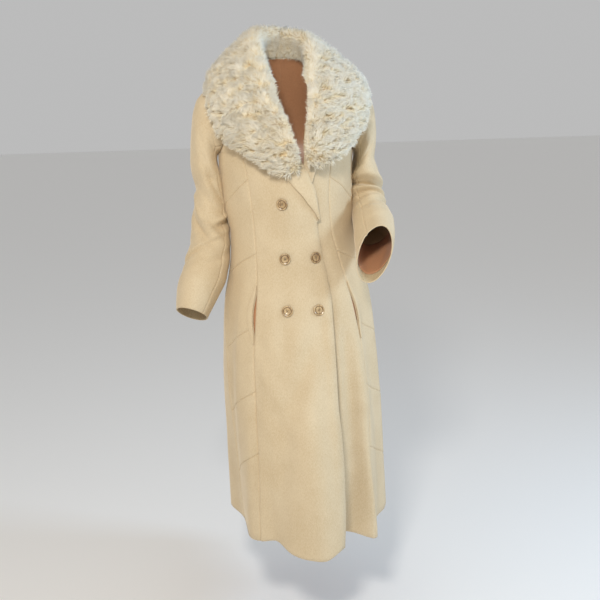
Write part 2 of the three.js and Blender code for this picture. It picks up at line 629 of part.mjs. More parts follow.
// The rows of a side panel above the armpit, between its long seam and the armhole.
// facing is 1 on the front of the body and -1 on the back.
function besideArmhole(base, hand, facing, out) {
  const seamTop = shoulderPoint(PRINCESS_SHARE - 0.004, hand);
  const columns = base.length - 1;
  return steps(UPPER_ROWS).slice(1).map((t) => {
    const share = t * TOP_SHARE;
    const atSeam = risingPoint(base[0], seamTop, share);
    const turn = facing > 0 ? 180 * (1 - share) : 180 * (1 + share);
    const atHole = armholePoint(turn, hand);
    return base.map((p, j) => {
      const c = j / columns;
      const chord = base[0].clone().lerp(base[columns], c);
      const fullness = p.clone().sub(chord).multiplyScalar((1 - share) ** 1.5);
      return awayFromChest(atSeam.clone().lerp(atHole, c).add(fullness), out);
    });
  });
}

function addBacks() {
  for (const hand of [-1, 1]) {
    const word = hand < 0 ? "right" : "left";
    const seamAt = hand < 0 ? seam.backR : seam.backL;
    const side = hand < 0 ? seam.sideR : seam.sideL;
    const middle = () => hand * 180;
    const bySeam = PRINCESS_SHARE + 0.004;
    const ends = hand < 0
      ? { from: middle, to: seamAt, topFrom: 2, topTo: bySeam }
      : { from: seamAt, to: middle, topFrom: bySeam, topTo: 2 };
    const back = { ...ends, share: 1, hand, columns: BACK_COLUMNS };
    add(`back_${word}`, wall((out) => longPanel(back, out)), WOOL);

    const sideBack = {
      from: hand < 0 ? seamAt : side, to: hand < 0 ? side : seamAt,
      share: 1, columns: SIDE_BACK_COLUMNS,
    };
    const gridAt = (out) => {
      const base = panelBelow(sideBack, 0).at(-1);
      if (hand > 0) base.reverse();
      const upper = besideArmhole(base, hand, -1, out);
      if (hand > 0) upper.forEach((row) => row.reverse());
      return [...panelBelow(sideBack, out), ...upper];
    };
    add(`side_back_${word}`, wall(gridAt), WOOL);
  }
}

// A point of a sleeve's outside: at 0 it is the armhole's edge, then the table's sections.
function sleeveSurface({ sections, folds, hand }, at, angle) {
  const a = radians(angle);
  const s = Math.max(at, 1);
  const middle = V(sections.x(s), sections.y(s), sections.z(s));
  const arm = V(
    sections.ux(s) * Math.cos(a) + sections.vx(s) * Math.sin(a),
    sections.vy(s) * Math.sin(a),
    sections.uz(s) * Math.cos(a) + sections.vz(s) * Math.sin(a),
  );
  let out = 0;
  for (const fold of folds) {
    const round = THREE.MathUtils.euclideanModulo(angle - fold.round + 180, 360) - 180;
    const along = (s - fold.at - fold.slant * radians(round)) / fold.long;
    out += fold.depth * Math.exp(-along * along - (round / fold.wide) ** 2);
  }
  const point = middle.add(arm.setLength(arm.length() + out));
  return at < 1 ? armholePoint(angle, hand, ARMHOLE_GAP).lerp(point, at) : point;
}
const sleevePoint = (sleeve, at, angle, out) =>
  movedOut((s, a) => sleeveSurface(sleeve, s, a), at, angle, 0.3, 8, -sleeve.hand * out);

const SLEEVE_SEAM_FRONT = 135; // where the upper and the under sleeve are sewn, in front
const SLEEVE_SEAM_BACK = -112.5; // and behind
const LINING_ROWS = { first: 19, last: 23 }; // the rows of the sleeve that the lining covers
function addSleeve(hand, table, folds) {
  const word = hand < 0 ? "right" : "left";
  const rows = table.map((row, i) => ({ ...row, at: i + 1 }));
  const sections = curves(rows, "at", Object.keys(table[0]));
  const sleeve = { sections, folds, hand };
  const step = 360 / SLEEVE_AROUND;
  const gap = THREE.MathUtils.radToDeg(SEAM / 2 / 50);
  const strip = (from, to, first, last, ends) => (out) => {
    const count = Math.round((to - from) / step);
    return steps(last - first).map((v) => {
      const at = (mix(first, last, v) * table.length) / SLEEVE_ROWS;
      return steps(count).map((c) => {
        const angle = mix(from, to, c) + (c === 0 ? ends : 0) - (c === 1 ? ends : 0);
        return sleevePoint(sleeve, at, angle, out);
      });
    });
  };
  const upper = strip(SLEEVE_SEAM_BACK, SLEEVE_SEAM_FRONT, 0, SLEEVE_ROWS, gap);
  const under = strip(SLEEVE_SEAM_FRONT, SLEEVE_SEAM_BACK + 360, 0, SLEEVE_ROWS, gap);
  add(`sleeve_upper_${word}`, wall(upper), WOOL);
  add(`sleeve_under_${word}`, wall(under), WOOL);
  const inside = strip(SLEEVE_SEAM_BACK, SLEEVE_SEAM_BACK + 360, LINING_ROWS.first, LINING_ROWS.last, 0);
  const lining = wallBetween(inside(-(CLOTH + LAY)), inside(-(CLOTH + LAY + LINING)));
  add(`sleeve_lining_${word}`, lining, SATIN, 0.4);
}

// How far the cloth made so far reaches from the middle of the chest in a direction.
function clothReach(direction) {
  const ray = new THREE.Ray(CHEST, direction);
  const [a, b, c, hit] = [V(0, 0, 0), V(0, 0, 0), V(0, 0, 0), V(0, 0, 0)];
  let reach = 0;
  for (const { geometry } of coat.children) {
    const position = geometry.getAttribute("position");
    const corner = geometry.index;
    for (let i = 0; i < corner.count; i += 3) {
      a.fromBufferAttribute(position, corner.getX(i));
      b.fromBufferAttribute(position, corner.getX(i + 1));
      c.fromBufferAttribute(position, corner.getX(i + 2));
      if (ray.intersectTriangle(a, b, c, false, hit)) reach = Math.max(reach, hit.distanceTo(CHEST));
    }
  }
  return reach;
}
function clearOfCloth(point, gap) {
  const direction = point.clone().sub(CHEST);
  const distance = direction.length();
  direction.normalize();
  return CHEST.clone().addScaledVector(direction, Math.max(distance, clothReach(direction) + gap));
}

// The collar's skin: rows from the neck seam up the stand, over the roll and down the fall.
const COLLAR_CLEAR = 7.5;
const COLLAR_GAP = 1.4; // between the skin and the cloth under it
function collarSkin() {
  const rows = COLLAR.map((row, i) => ({ ...row, i }));
  const at = curves(rows, "i", Object.keys(COLLAR[0]));
  const neck = V(SHOULDER.lean, 0, 0);
  const stations = steps(COLLAR_COLUMNS).map((u) => {
    const i = u * (COLLAR.length - 1);
    const roll = V(at.rx(i), at.ry(i), at.rz(i));
    const edge = V(at.ex(i), at.ey(i), at.ez(i));
    const flat = roll.clone().sub(edge).normalize();
    const towardsNeck = neck.clone().sub(roll).setZ(0).normalize();
    const down = V(towardsNeck.x * STAND_LEAN, towardsNeck.y * STAND_LEAN, -1).normalize();
    const inward = flat.lerp(down, smooth(at.stand(i), 6, 30)).normalize();
    const base = roll.clone().addScaledVector(inward, at.stand(i));
    const control = roll.clone().lerp(edge, 0.45);
    control.addScaledVector(control.clone().sub(CHEST).normalize(), 2 * at.arch(i));
    return { base, roll, control, edge };
  });
  const stand = steps(STAND_ROWS).slice(0, -1).map((v) =>
    stations.map((s) => s.base.clone().lerp(s.roll, v)),
  );
  const fall = steps(FALL_ROWS).map((w) =>
    stations.map((s) => {
      const point = s.roll.clone().multiplyScalar((1 - w) ** 2);
      point.addScaledVector(s.control, 2 * w * (1 - w)).addScaledVector(s.edge, w * w);
      return clearOfCloth(point, COLLAR_CLEAR);
    }),
  );
  return [...stand, ...fall];
}
const STAND_LEAN = 0.08; // how far the stand leans towards the neck below the roll

function addCollar() {
  const skin = collarSkin();
  const rows = skin.length - 1;
  const depth = (i, j) => {
    const down = i / rows;
    const along = j / COLLAR_COLUMNS;
    const round = Math.min(1, Math.sin(Math.PI * Math.min(down + 0.02, 1)) ** 0.45 + 0.02);
    const ends = smooth(Math.min(along, 1 - along), -0.004, 0.05);
    const nearNeck = mix(0.62, 1, smooth(i, 1, 5));
    const tuft = FUR_TUFT * Math.sin(along * 61 + down * 9) * Math.sin(down * 17 - along * 23);
    return FUR_EDGE_DEPTH + ((FUR_DEPTH - FUR_EDGE_DEPTH) * nearNeck + tuft) * round * ends;
  };
  add("fur_collar", wallBetween(moved(skin, depth), skin), FUR, 1);
  // The cloth under it stops short of its edge and ends.
  const under = (out) => {
    const grid = moved(skin, out);
    grid[rows].forEach((point, j) => point.lerp(grid[rows - 1][j], UNDER_COLLAR_INSET));
    for (const row of grid) {
      row[0].lerp(row[1], UNDER_COLLAR_INSET);
      row[COLLAR_COLUMNS].lerp(row[COLLAR_COLUMNS - 1], UNDER_COLLAR_INSET);
    }
    return grid;
  };
  add("under_collar", wallBetween(under(-COLLAR_GAP), under(-(COLLAR_GAP + CLOTH))), WOOL);
}

// A pocket: a lip along the side panel's edge, and the facing seen behind the mouth.
const POCKET_ROWS = 6;
const POCKET_DEEP = 4.5; // how far the facing lies below the surface
function addPocket(hand) {
  const word = hand < 0 ? "right" : "left";
  const princess = hand < 0 ? seam.princessR : seam.princessL;
  const strip = (from, to, columns, lift, extra) => (out) =>
    steps(POCKET_ROWS).map((v) => {
      const z = mix(POCKET.bottom - extra, POCKET.top + extra, v);
      const row = steps(columns).map((c) => {
        const length = mix(from(z), to(z), c);
        return bodyPoint(princess(z) + hand * arcAngle(length, princess(z), z), z, "none", lift + out);
      });
      return hand < 0 ? row.reverse() : row;
    });
  const lipWidth = (z) => {
    const share = between(z, POCKET.bottom - 4, POCKET.top + 4);
    return 3 + (POCKET.lip - 3) * Math.sin(Math.PI * share) ** 0.7;
  };
  const start = (z) => pocketGape(z) + 1;
  const lip = strip(start, (z) => start(z) + lipWidth(z), 3, LINING + LAY + 0.4, 4);
  add(`pocket_lip_${word}`, wall(lip, LINING + 0.4), WOOL);
  const facing = strip(() => -POCKET.lap, () => POCKET.lap + POCKET.gape, 3, -POCKET_DEEP, 8);
  add(`pocket_facing_${word}`, wall(facing, LINING), SATIN, 0.5);
}

// A four-hole button with a raised rim and a dished middle.
const BUTTON_SIDES = 14;
function buttonGeometry() {
  const { radius: r, thick: t } = BUTTON;
  const profile = [
    [0, 0], [r * 0.8, 0], [r, t * 0.5], [r * 0.94, t], [r * 0.82, t],
    [r * 0.7, t * 0.74], [r * 0.42, t * 0.5], [0, t * 0.46],
  ];
  const disc = new THREE.LatheGeometry(profile.map(([x, y]) => new THREE.Vector2(x, y)), BUTTON_SIDES);
  let solid = solidOf(disc.rotateX(Math.PI / 2));
  for (let k = 0; k < 4; k += 1) {
    const turn = Math.PI / 4 + (k * Math.PI) / 2;
    const hole = new THREE.CylinderGeometry(BUTTON.hole, BUTTON.hole, 4 * t, 6).rotateX(Math.PI / 2);
    hole.translate(BUTTON.holeAt * Math.cos(turn), BUTTON.holeAt * Math.sin(turn), 0);
    solid = solid.subtract(solidOf(hole));
  }
  const made = solid.getMesh();
  return facingOut(Array.from(made.vertProperties), Array.from(made.triVerts));
}

// A closed solid from a geometry whose repeated points are joined first.
function solidOf(geometry) {
  const plain = geometry.index ? geometry.toNonIndexed() : geometry;
  const from = plain.getAttribute("position");
  const seen = new Map();
  const position = [];
  const index = [];
  for (let i = 0; i < from.count; i += 1) {
    const p = [from.getX(i), from.getY(i), from.getZ(i)];
    const key = p.map((x) => Math.round(x * 1e4)).join();
    if (!seen.has(key)) {
      seen.set(key, seen.size);
      position.push(...p);
    }
    index.push(seen.get(key));
  }
  const triangles = [];
  for (let i = 0; i < index.length; i += 3) {
    const [a, b, c] = index.slice(i, i + 3);
    if (a !== b && b !== c && c !== a) triangles.push(a, b, c);
  }
  const out = facingOut(position, triangles);
  return new wasm.Manifold(
    new wasm.Mesh({
      numProp: 3,
      vertProperties: new Float32Array(out.getAttribute("position").array),
      triVerts: new Uint32Array(out.index.array),
    }),
  );
}

function addButton({ name, x, z, rise }, geometry) {
  const step = 6;
  const here = frontPoint(x, z, "right");
  const across = frontPoint(x + step, z, "right").sub(frontPoint(x - step, z, "right"));
  const up = frontPoint(x, z + step, "right").sub(frontPoint(x, z - step, "right"));
  const out = across.clone().cross(up).normalize();
  const mesh = add(name, geometry, HORN, 0.35);
  mesh.quaternion.setFromUnitVectors(V(0, 0, 1), out);
  mesh.position.copy(here.addScaledVector(out, rise));
}

addFronts();
addLapel("lapel_right", "right", LAPEL_RIGHT, rightLapelLift);
addLapel("lapel_left", "left", LAPEL_LEFT, leftLapelLift);
addSideFront(-1);
addSideFront(1);
addBacks();
addSleeve(-1, SLEEVE_RIGHT, SLEEVE_RIGHT_FOLDS);
addSleeve(1, SLEEVE_LEFT, SLEEVE_LEFT_FOLDS);
addCollar();
addPocket(-1);
addPocket(1);
const button = buttonGeometry();
for (const row of BUTTONS) addButton(row, button);

export default coat;
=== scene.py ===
import math

import bpy
import numpy as np
from mathutils import Matrix, Vector
from mathutils.bvhtree import BVHTree


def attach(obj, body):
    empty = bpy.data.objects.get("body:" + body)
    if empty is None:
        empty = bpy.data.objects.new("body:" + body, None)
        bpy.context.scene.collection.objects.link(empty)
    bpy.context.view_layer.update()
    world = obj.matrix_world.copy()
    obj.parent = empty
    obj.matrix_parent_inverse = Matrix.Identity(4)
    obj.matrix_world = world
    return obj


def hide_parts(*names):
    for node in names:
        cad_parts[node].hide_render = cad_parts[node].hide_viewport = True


# A long double-breasted coat of beige wool with a large cream fur collar, hollow, in the form it
# has when it is worn. The wearer faces -Y. Lengths in the tables are in millimetres.

SEED = 7
MM = 0.001

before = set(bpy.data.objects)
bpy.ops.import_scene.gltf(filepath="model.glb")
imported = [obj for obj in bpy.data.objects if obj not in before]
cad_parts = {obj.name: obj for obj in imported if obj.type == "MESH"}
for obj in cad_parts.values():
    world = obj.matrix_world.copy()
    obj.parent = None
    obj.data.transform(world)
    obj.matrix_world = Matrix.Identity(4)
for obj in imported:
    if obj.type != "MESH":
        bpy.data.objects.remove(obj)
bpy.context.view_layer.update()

# Cloth.
CLOTH = 2.4  # thickness of the wool coating
SATIN = 1.2  # thickness of the sleeve lining
LAY = 0.7  # gap between two pieces that lie on each other
SEAM = 0.5  # gap between two pieces sewn together
SEAM_DIP = 1.25  # how far the cloth dips into a seam
SEAM_RIDGE = 0.55  # how far the seam allowances lift it beside the seam
TOP_SHARE = 0.992  # panels stop short of the shoulder seam

# Levels of the body's form.
ARMPIT_Z = -250
FLARE_Z = -560
FLARE_POWER = 1.7
SECTION_POWER = 2.15  # 2 is an ellipse, and more gives it fuller corners
HEM_LEVEL = -1200  # the height at which the seams' angles are read for the hem
OVERLAP_OUT = 2.1  # where the fronts overlap, the right one stands out and the left one in
LAPEL_OUT = 6  # and the right one stands out more beside the lapels
ROUND_OVER = 0.8  # the shape of the rounding below the shoulder seam
CHEST = np.array([-14.0, 0.0, -235.0])  # upper layers are moved out from here


def mix(a, b, share):
    return a + (b - a) * share


def between(value, low, high):
    return np.clip((value - low) / (high - low), 0, 1)


def smooth(value, low, high):
    t = between(value, low, high)
    return t * t * (3 - 2 * t)


def curves(names, *rows):
    """A table with named columns. Each column after the first becomes a smooth function of the
    first: cubic pieces whose slopes are those between the rows on either side."""
    names = names.split()
    columns = np.array(sorted(rows), float).T
    t = columns[0]

    def reader(v):
        slope = np.empty(len(t))
        slope[1:-1] = (v[2:] - v[:-2]) / (t[2:] - t[:-2])
        slope[0] = (v[1] - v[0]) / (t[1] - t[0])
        slope[-1] = (v[-1] - v[-2]) / (t[-1] - t[-2])

        def read(at):
            at = np.clip(at, t[0], t[-1])
            i = np.clip(np.searchsorted(t, at) - 1, 0, len(t) - 2)
            h = t[i + 1] - t[i]
            s = (at - t[i]) / h
            ease = s * s * (3 - 2 * s)
            bend = s * (1 - s)
            tangent = h * bend * ((1 - s) * slope[i] - s * slope[i + 1])
            return mix(v[i], v[i + 1], ease) + tangent

        return read

    return {name: reader(v) for name, v in zip(names[1:], columns[1:])}


# Half sizes of the body at each height, and how far its middle stands from the neck's.
BODY = curves(
    "z side front back lean",
    (-1240, 206, 256, 228, 12),
    (-1100, 206, 252, 212, 11),
    (-980, 205, 241, 196, 9),
    (-860, 203, 226, 180, 6),
    (-740, 197, 207, 164, 5),
    (-620, 187, 183, 144, 5),
    (-560, 172, 170, 124, 2),
    (-500, 157, 160, 104, -4),
    (-430, 147, 157, 92, -9),
    (-360, 150, 161, 96, -11),
    (-300, 157, 160, 106, -12),
    (-250, 166, 149, 116, -13),
)

# The hem seen from above: degrees round from the front, positive towards the wearer's left.
HEM = curves(
    "angle radius z",
    (-180, 236, -1196),
    (-163, 268, -1190),
    (-146, 300, -1186),
    (-130, 240, -1196),
    (-112, 200, -1206),
    (-97, 190, -1212),
    (-82, 170, -1216),
    (-68, 168, -1218),
    (-54, 188, -1220),
    (-40, 224, -1222),
    (-31, 226, -1220),
    (-21, 222, -1216),
    (-10, 264, -1230),
    (0, 286, -1236),
    (8, 289, -1238),
    (15, 272, -1222),
    (22, 250, -1210),
    (32, 240, -1216),
    (40, 268, -1228),
    (50, 240, -1222),
    (60, 222, -1214),
    (74, 232, -1212),
    (88, 235, -1206),
    (104, 226, -1202),
    (120, 246, -1196),
    (138, 290, -1188),
    (156, 252, -1192),
    (180, 236, -1196),
)

# How far the hem of the left front, which lies underneath, falls behind that line.
UNDER_HEM = curves(
    "angle behind",
    (-30, 0), (-18, 8), (-6, 32), (8, 58), (20, 46), (29, 26), (38, 2), (48, 0),
)["behind"]

# Seam lines from the hem to the armpit, as angles: R is the wearer's right, L the left.
SEAMS = curves(
    "z princessR princessL sideR sideL backR backL",
    (-1240, -32.5, 40, -70, 88, -150, 150),
    (-985, -34, 41.5, -71, 88, -149, 149),
    (-840, -35.5, 44, -73, 88, -148, 148),
    (-720, -37, 44, -76, 88, -147, 147),
    (-600, -38, 41, -80, 88, -146, 146),
    (-500, -38.5, 39, -84, 88, -146, 146),
    (-427, -39, 35, -87, 89, -145, 145),
    (-320, -41, 34, -89, 90, -143, 143),
    (-250, -46, 38, -90, 90, -140, 140),
)

# The slanting seams of each side panel: height at the princess seam, and drop to the side seam.
SLANTS = ((-987, 92), (-828, 84), (-667, 78), (-490, 62), (-308, 84))

# The front edges below the lapels, as angles, and above that the roll lines, as x.
BREAK_Z = -412
LAPEL_TOP = -264
FRONT_EDGE = curves(
    "z right left",
    (-1240, 16.5, -15),
    (-1020, 17.5, -15),
    (-845, 17.7, -16),
    (-674, 19.5, -18),
    (-578, 21.3, -20),
    (-482, 21.2, -20),
    (-412, 18.5, -17),
)
LAPEL_RIGHT = curves(
    "z roll edge",
    (-408, 50, 47),
    (-397, 48.5, 42),
    (-383, 46, 33),
    (-366, 44, 20),
    (-347, 41, 7),
    (-331, 37, -7),
    (-311, 28, -24),
    (-296, 22, -36),
    (-280, 14, -47),
    (-264, 7, -56),
)
LAPEL_LEFT = curves(
    "z roll edge",
    (-406, -47, -45),
    (-383, -33, -20),
    (-362, -21, 2),
    (-347, -12, 14),
    (-331, -5, 24),
    (-314, 2, 32),
    (-298, 8, 38),
    (-281, 13, 50),
    (-264, 17, 60),
)
V_EDGE_X = {"right": -2, "left": 18}

# Soft folds of the body: from one place to another (angle, z), half width in millimetres, and
# how far they stand out or, below zero, sink in.
FOLDS = (
    # angle0, z0, angle1, z1, width, height
    (-82, -250, -84, -440, 56, 17.0),
    (86, -390, 88, -560, 55, 12.0),
    (5, -680, -13, -890, 21, -11.0),
    (-13, -890, -19, -1040, 24, -7.0),
    (-3, -880, 6, -1180, 30, 9.0),
    (13, -660, 17, -900, 13, -6.0),
    (31, -700, 33, -1180, 15, -12.0),
    (40, -900, 46, -1180, 12, -7.0),
    (-22, -900, -20, -1200, 13, 7.0),
    (-34, -760, -36, -1180, 12, -7.0),
    (84, -275, 84, -430, 58, 11.0),
    (-27, -600, -20, -1000, 26, 4.5),
    (-16, -560, -12, -900, 22, -4.5),
    (-4, -700, 3, -1150, 34, 6.0),
    (9, -640, 13, -1100, 20, -4.5),
    (-30, -745, -14, -905, 16, 4.5),
    (-26, -820, -12, -960, 13, -3.9),
    (-33, -690, -22, -800, 12, -3.6),
    (30, -640, 27, -1150, 22, -6.0),
    (36, -760, 34, -1150, 20, 5.2),
    (52, -560, 56, -1100, 26, -5.2),
    (66, -520, 70, -1050, 26, 4.5),
    (-50, -560, -56, -1060, 24, 4.5),
    (-62, -560, -68, -1100, 24, -4.5),
    (-36, -470, -12, -545, 13, -1.8),
    (-34, -450, -10, -500, 12, 1.5),
    (36, -455, 14, -520, 13, -1.8),
    (-44, -300, -30, -420, 14, -2.0),
    (40, -290, 30, -420, 14, -2.2),
    (-60, -270, -44, -360, 12, 2.0),
    (62, -270, 46, -350, 12, 2.0),
    (-16, -330, -30, -300, 14, 1.4),
    (-110, -600, -118, -1100, 30, 6.0),
    (-132, -560, -142, -1100, 26, -6.0),
    (-164, -600, -160, -1100, 26, 6.0),
    (112, -600, 118, -1100, 30, 6.0),
    (134, -560, 142, -1100, 26, -6.0),
    (164, -600, 160, -1100, 26, 6.0),
    (-165, -440, -110, -470, 16, -2.0),
    (165, -440, 110, -475, 16, -2.0),
    (-160, -400, -100, -425, 14, 1.8),
    (160, -405, 100, -430, 14, 1.8),
    (178, -330, 150, -380, 16, -1.6),
    (-178, -300, -150, -350, 16, 1.6),
)


def fold_height(angle, z):
    """How far the folds and the cloth's slight waves move a place out: a bell across each fold's
    line, fading at its two ends, with a few slow sine waves over all."""
    reach = 180.0  # millimetres round the body for each radian
    s = np.radians(angle) * reach
    out = 0.5 * np.sin(s / 37 + z / 90) * np.sin(z / 61 - s / 83)
    out = out + 0.35 * np.sin(s / 19 - z / 47 + 1.3) * np.sin(z / 33 + s / 71)
    for a0, z0, a1, z1, width, height in FOLDS:
        start = np.array([math.radians(a0) * reach, z0])
        line = np.array([math.radians(a1) * reach, z1]) - start
        length = math.hypot(*line)
        along = ((s - start[0]) * line[0] + (z - start[1]) * line[1]) / length**2
        near = np.clip(along, 0, 1)
        off = np.hypot(s - start[0] - near * line[0], z - start[1] - near * line[1])
        ends = 0.35 + 0.65 * np.sin(np.pi * near) ** 0.6
        out = out + height * ends * np.exp(-((off / width) ** 2))
    return out


def layer_out(layer, angle, z):
    """How far a front stands out from the body where the two fronts lie on each other."""
    if layer == "right":
        by_lapel = smooth(angle, -24, -4) * smooth(z, -450, -390)
        return OVERLAP_OUT * smooth(angle, -38, -18) + LAPEL_OUT * by_lapel
    if layer == "left":
        return -OVERLAP_OUT * (1 - smooth(angle, 16, 34))
    return 0.0


def body_form(angle, z, layer="none"):
    """The body below the armpits: an ellipse with full corners whose radius goes over, below the
    hips, into the hem's."""
    a = np.radians(angle)
    across = np.abs(np.sin(a)) / BODY["side"](z)
    depth = np.abs(np.cos(a)) / np.where(np.abs(angle) < 90, BODY["front"](z), BODY["back"](z))
    radius = (across**SECTION_POWER + depth**SECTION_POWER) ** (-1 / SECTION_POWER)
    share = between(z, FLARE_Z, HEM["z"](angle)) ** FLARE_POWER
    radius = mix(radius, HEM["radius"](angle), share)
    if layer == "left":
        radius = radius - UNDER_HEM(angle) * share
    radius = radius + layer_out(layer, angle, z)
    x = radius * np.sin(a) + BODY["lean"](z) * (1 - share)
    return np.stack([x, -radius * np.cos(a), z + 0 * a], -1)


def unit(v):
    return v / np.maximum(np.linalg.norm(v, axis=-1, keepdims=True), 1e-9)


def body_point(angle, z, layer="none", out=0.0):
    """A point of the body's outside, moved out along the normal by its folds and by out."""
    angle, z = np.broadcast_arrays(np.asarray(angle, float), np.asarray(z, float))
    along = body_form(angle + 4, z) - body_form(angle - 4, z)
    up = body_form(angle, z + 10) - body_form(angle, z - 10)
    distance = fold_height(angle, z) + out
    return body_form(angle, z, layer) + unit(np.cross(along, up)) * distance[..., None]


def angle_at_x(x, z, layer):
    """The angle at which a front passes an x at a height, found by halving."""
    x, z = np.broadcast_arrays(np.asarray(x, float), np.asarray(z, float))
    low, high = np.full(x.shape, -60.0), np.full(x.shape, 60.0)
    for _ in range(28):
        middle = (low + high) / 2
        left = body_form(middle, z, layer)[..., 0] < x
        low, high = np.where(left, middle, low), np.where(left, high, middle)
    return (low + high) / 2


def front_point(x, z, layer, out=0.0):
    return body_point(angle_at_x(x, z, layer), z, layer, out)


def front_edge(side, z):
    """Each front's free edge: plain below the lapel's break, the roll line above it."""
    roll = (LAPEL_RIGHT if side == "right" else LAPEL_LEFT)["roll"]
    plain = FRONT_EDGE[side](z)
    top_x = mix(roll(LAPEL_TOP), V_EDGE_X[side], between(z, LAPEL_TOP, ARMPIT_Z))
    rolled = angle_at_x(np.where(z >= LAPEL_TOP, top_x, roll(z)), z, side)
    return mix(plain, rolled, smooth(z, BREAK_Z, BREAK_Z + 8))


# Shoulders, the neck opening and the armholes.
LEAN = -14  # how far the body leans to the wearer's right up there
NECK_HALF, NECK_BACK, NECK_BACK_Z = 73, 68, -18
TIP = np.array([187, 6, -96])
NECK_POINT = np.array([73, 0, -34])
PRINCESS_SHARE, PRINCESS_GAP = 0.5, 0.004  # the long seam's place on the shoulder line, half its gap


def shoulder_point(share, hand):
    """The shoulder seam from the tip (0) to the neck (1), then the neck opening to the back (2)."""
    share = np.asarray(share, float)
    line = mix(TIP, NECK_POINT, np.minimum(share, 1)[..., None])
    turn = np.clip(share - 1, 0, 1) * np.pi / 2
    zero = share * 0
    round_neck = np.stack(
        [NECK_HALF * np.cos(turn), NECK_BACK * np.sin(turn), mix(-34, NECK_BACK_Z, np.sin(turn))], -1
    )
    place = np.where((share <= 1)[..., None], line, round_neck)
    return place * [hand, 1, 1] + np.stack([zero + LEAN, zero, zero], -1)


def armhole_point(angle, hand, out=0.0):
    """The armhole's edge, from its top (0) by the front (90) to its bottom (180)."""
    a = np.radians(angle)
    x = 163.3 + 10.5 * np.cos(a) + 13.2 * np.cos(2 * a) + out
    return np.stack([LEAN + hand * x, 4 - 72 * np.sin(a), -173 + 77 * np.cos(a)], -1)


def rising_point(low, slope, high, share):
    """A line up the chest or back to the shoulder, full below and rounding over at the top. It
    starts along the body's own slope."""
    share = np.asarray(share, float)[..., None]
    fullness = np.sin((1 - share) * np.pi / 2) ** ROUND_OVER
    line = np.concatenate(
        [
            mix(low[..., :1], high[..., :1], share),
            mix(high[..., 1:2], low[..., 1:2], fullness),
            mix(low[..., 2:], high[..., 2:], share),
        ],
        -1,
    )
    height = high[..., 2:] - low[..., 2:]
    start = slope * height
    start[..., 0:1] -= high[..., :1] - low[..., :1]
    start[..., 2] = 0
    return line + start * share * (1 - share) ** 3


def away_from_chest(point, out):
    return point + unit(point - CHEST) * np.asarray(out)[..., None]


def steps_with_fine_ends(length, step, first=True, last=True):
    """Shares from 0 to 1 with about one step between, and extra ones close to sewn ends."""
    shares = np.linspace(0, 1, max(3, round(length / step)) + 1)
    close = np.array([1.2, 2.6, 4.5, 7.5]) / length
    clear = 1.6 * close[-1]
    shares = shares[(shares == 0) | (shares == 1) | ((shares > clear) & (shares < 1 - clear))]
    extra = ([close] if first else []) + ([1 - close] if last else [])
    return np.unique(np.concatenate([shares, *extra]))


def seam_profile(distance):
    """The cloth beside a seam: it dips at the seam and stands up a little over the allowances."""
    dip = -SEAM_DIP * np.exp(-((distance / 1.5) ** 2))
    return dip + SEAM_RIDGE * np.exp(-(((distance - 6) / 4) ** 2))


# Meshes.
def new_piece(name, points, faces, materials, face_material=None, smooth_faces=True):
    """A mesh object from points in millimetres, riding on the coat. face_material says which of
    the materials each face has."""
    mesh = bpy.data.meshes.new(name)
    mesh.from_pydata((points.reshape(-1, 3) * MM).tolist(), [], faces)
    mesh.validate()
    for material in materials:
        mesh.materials.append(material)
    if face_material is not None:
        mesh.polygons.foreach_set("material_index", face_material.astype(np.int32))
    mesh.polygons.foreach_set("use_smooth", np.full(len(mesh.polygons), smooth_faces))
    piece = bpy.data.objects.new(name, mesh)
    bpy.context.scene.collection.objects.link(piece)
    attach(piece, "root")
    return piece


def grid_faces(rows, columns, start=0, ring=False):
    """Quads of a grid of rows by columns. A ring's last column is its first."""
    i = np.arange(rows - 1)[:, None]
    j = np.arange(columns if ring else columns - 1)[None, :]
    k = (j + 1) % columns
    quads = np.stack([i * columns + j, i * columns + k, (i + 1) * columns + k, (i + 1) * columns + j], -1)
    return quads.reshape(-1, 4) + start


def wall(outer, inner, ring=False):
    """The points and faces of a closed wall between two grids, with rounded edges: half way
    through the thickness, each free edge stands out by a third of the thickness. Returns also
    which faces are on the inside."""
    rows, columns = outer.shape[:2]
    count = rows * columns
    middle = (outer + inner) / 2
    bulge = np.linalg.norm(outer - inner, axis=-1, keepdims=True) / 3
    outside = grid_faces(rows, columns, 0, ring)
    inside = grid_faces(rows, columns, count, ring)[:, ::-1]
    faces = [outside, inside]
    cell = np.arange(count).reshape(rows, columns)
    low = 2 * count + np.arange(columns)
    high = low + columns
    points = [outer.reshape(-1, 3), inner.reshape(-1, 3)]
    for row, beside in ((0, 1), (-1, -2)):
        points.append(middle[row] + unit(middle[row] - middle[beside]) * bulge[row])

    def close(outer_line, middle_line):
        """Two strips of quads from an outer edge over the middle to the inner edge."""
        inner_line = outer_line + count
        for p, q in ((outer_line, middle_line), (middle_line, inner_line)):
            p2, q2 = (np.roll(p, -1), np.roll(q, -1)) if ring else (p[1:], q[1:])
            faces.append(np.stack([p[: len(p2)], q[: len(p2)], q2, p2], -1))

    close(cell[0], low)
    close(cell[-1][::-1], high[::-1])
    if not ring:
        sides = 2 * count + 2 * columns + np.arange(2 * (rows - 2)).reshape(2, -1)
        for column, beside in ((0, 1), (-1, -2)):
            away = unit(middle[:, column] - middle[:, beside])
            points.append((middle[:, column] + away * bulge[:, column])[1:-1])
        first = np.concatenate([low[:1], sides[0], high[:1]])
        last = np.concatenate([low[-1:], sides[1], high[-1:]])
        close(cell[::-1, 0], first[::-1])
        close(cell[:, -1], last)
    faces = np.concatenate(faces)
    is_inside = np.zeros(len(faces), int)
    is_inside[len(outside) : 2 * len(outside)] = 1
    return np.concatenate(points), faces, is_inside


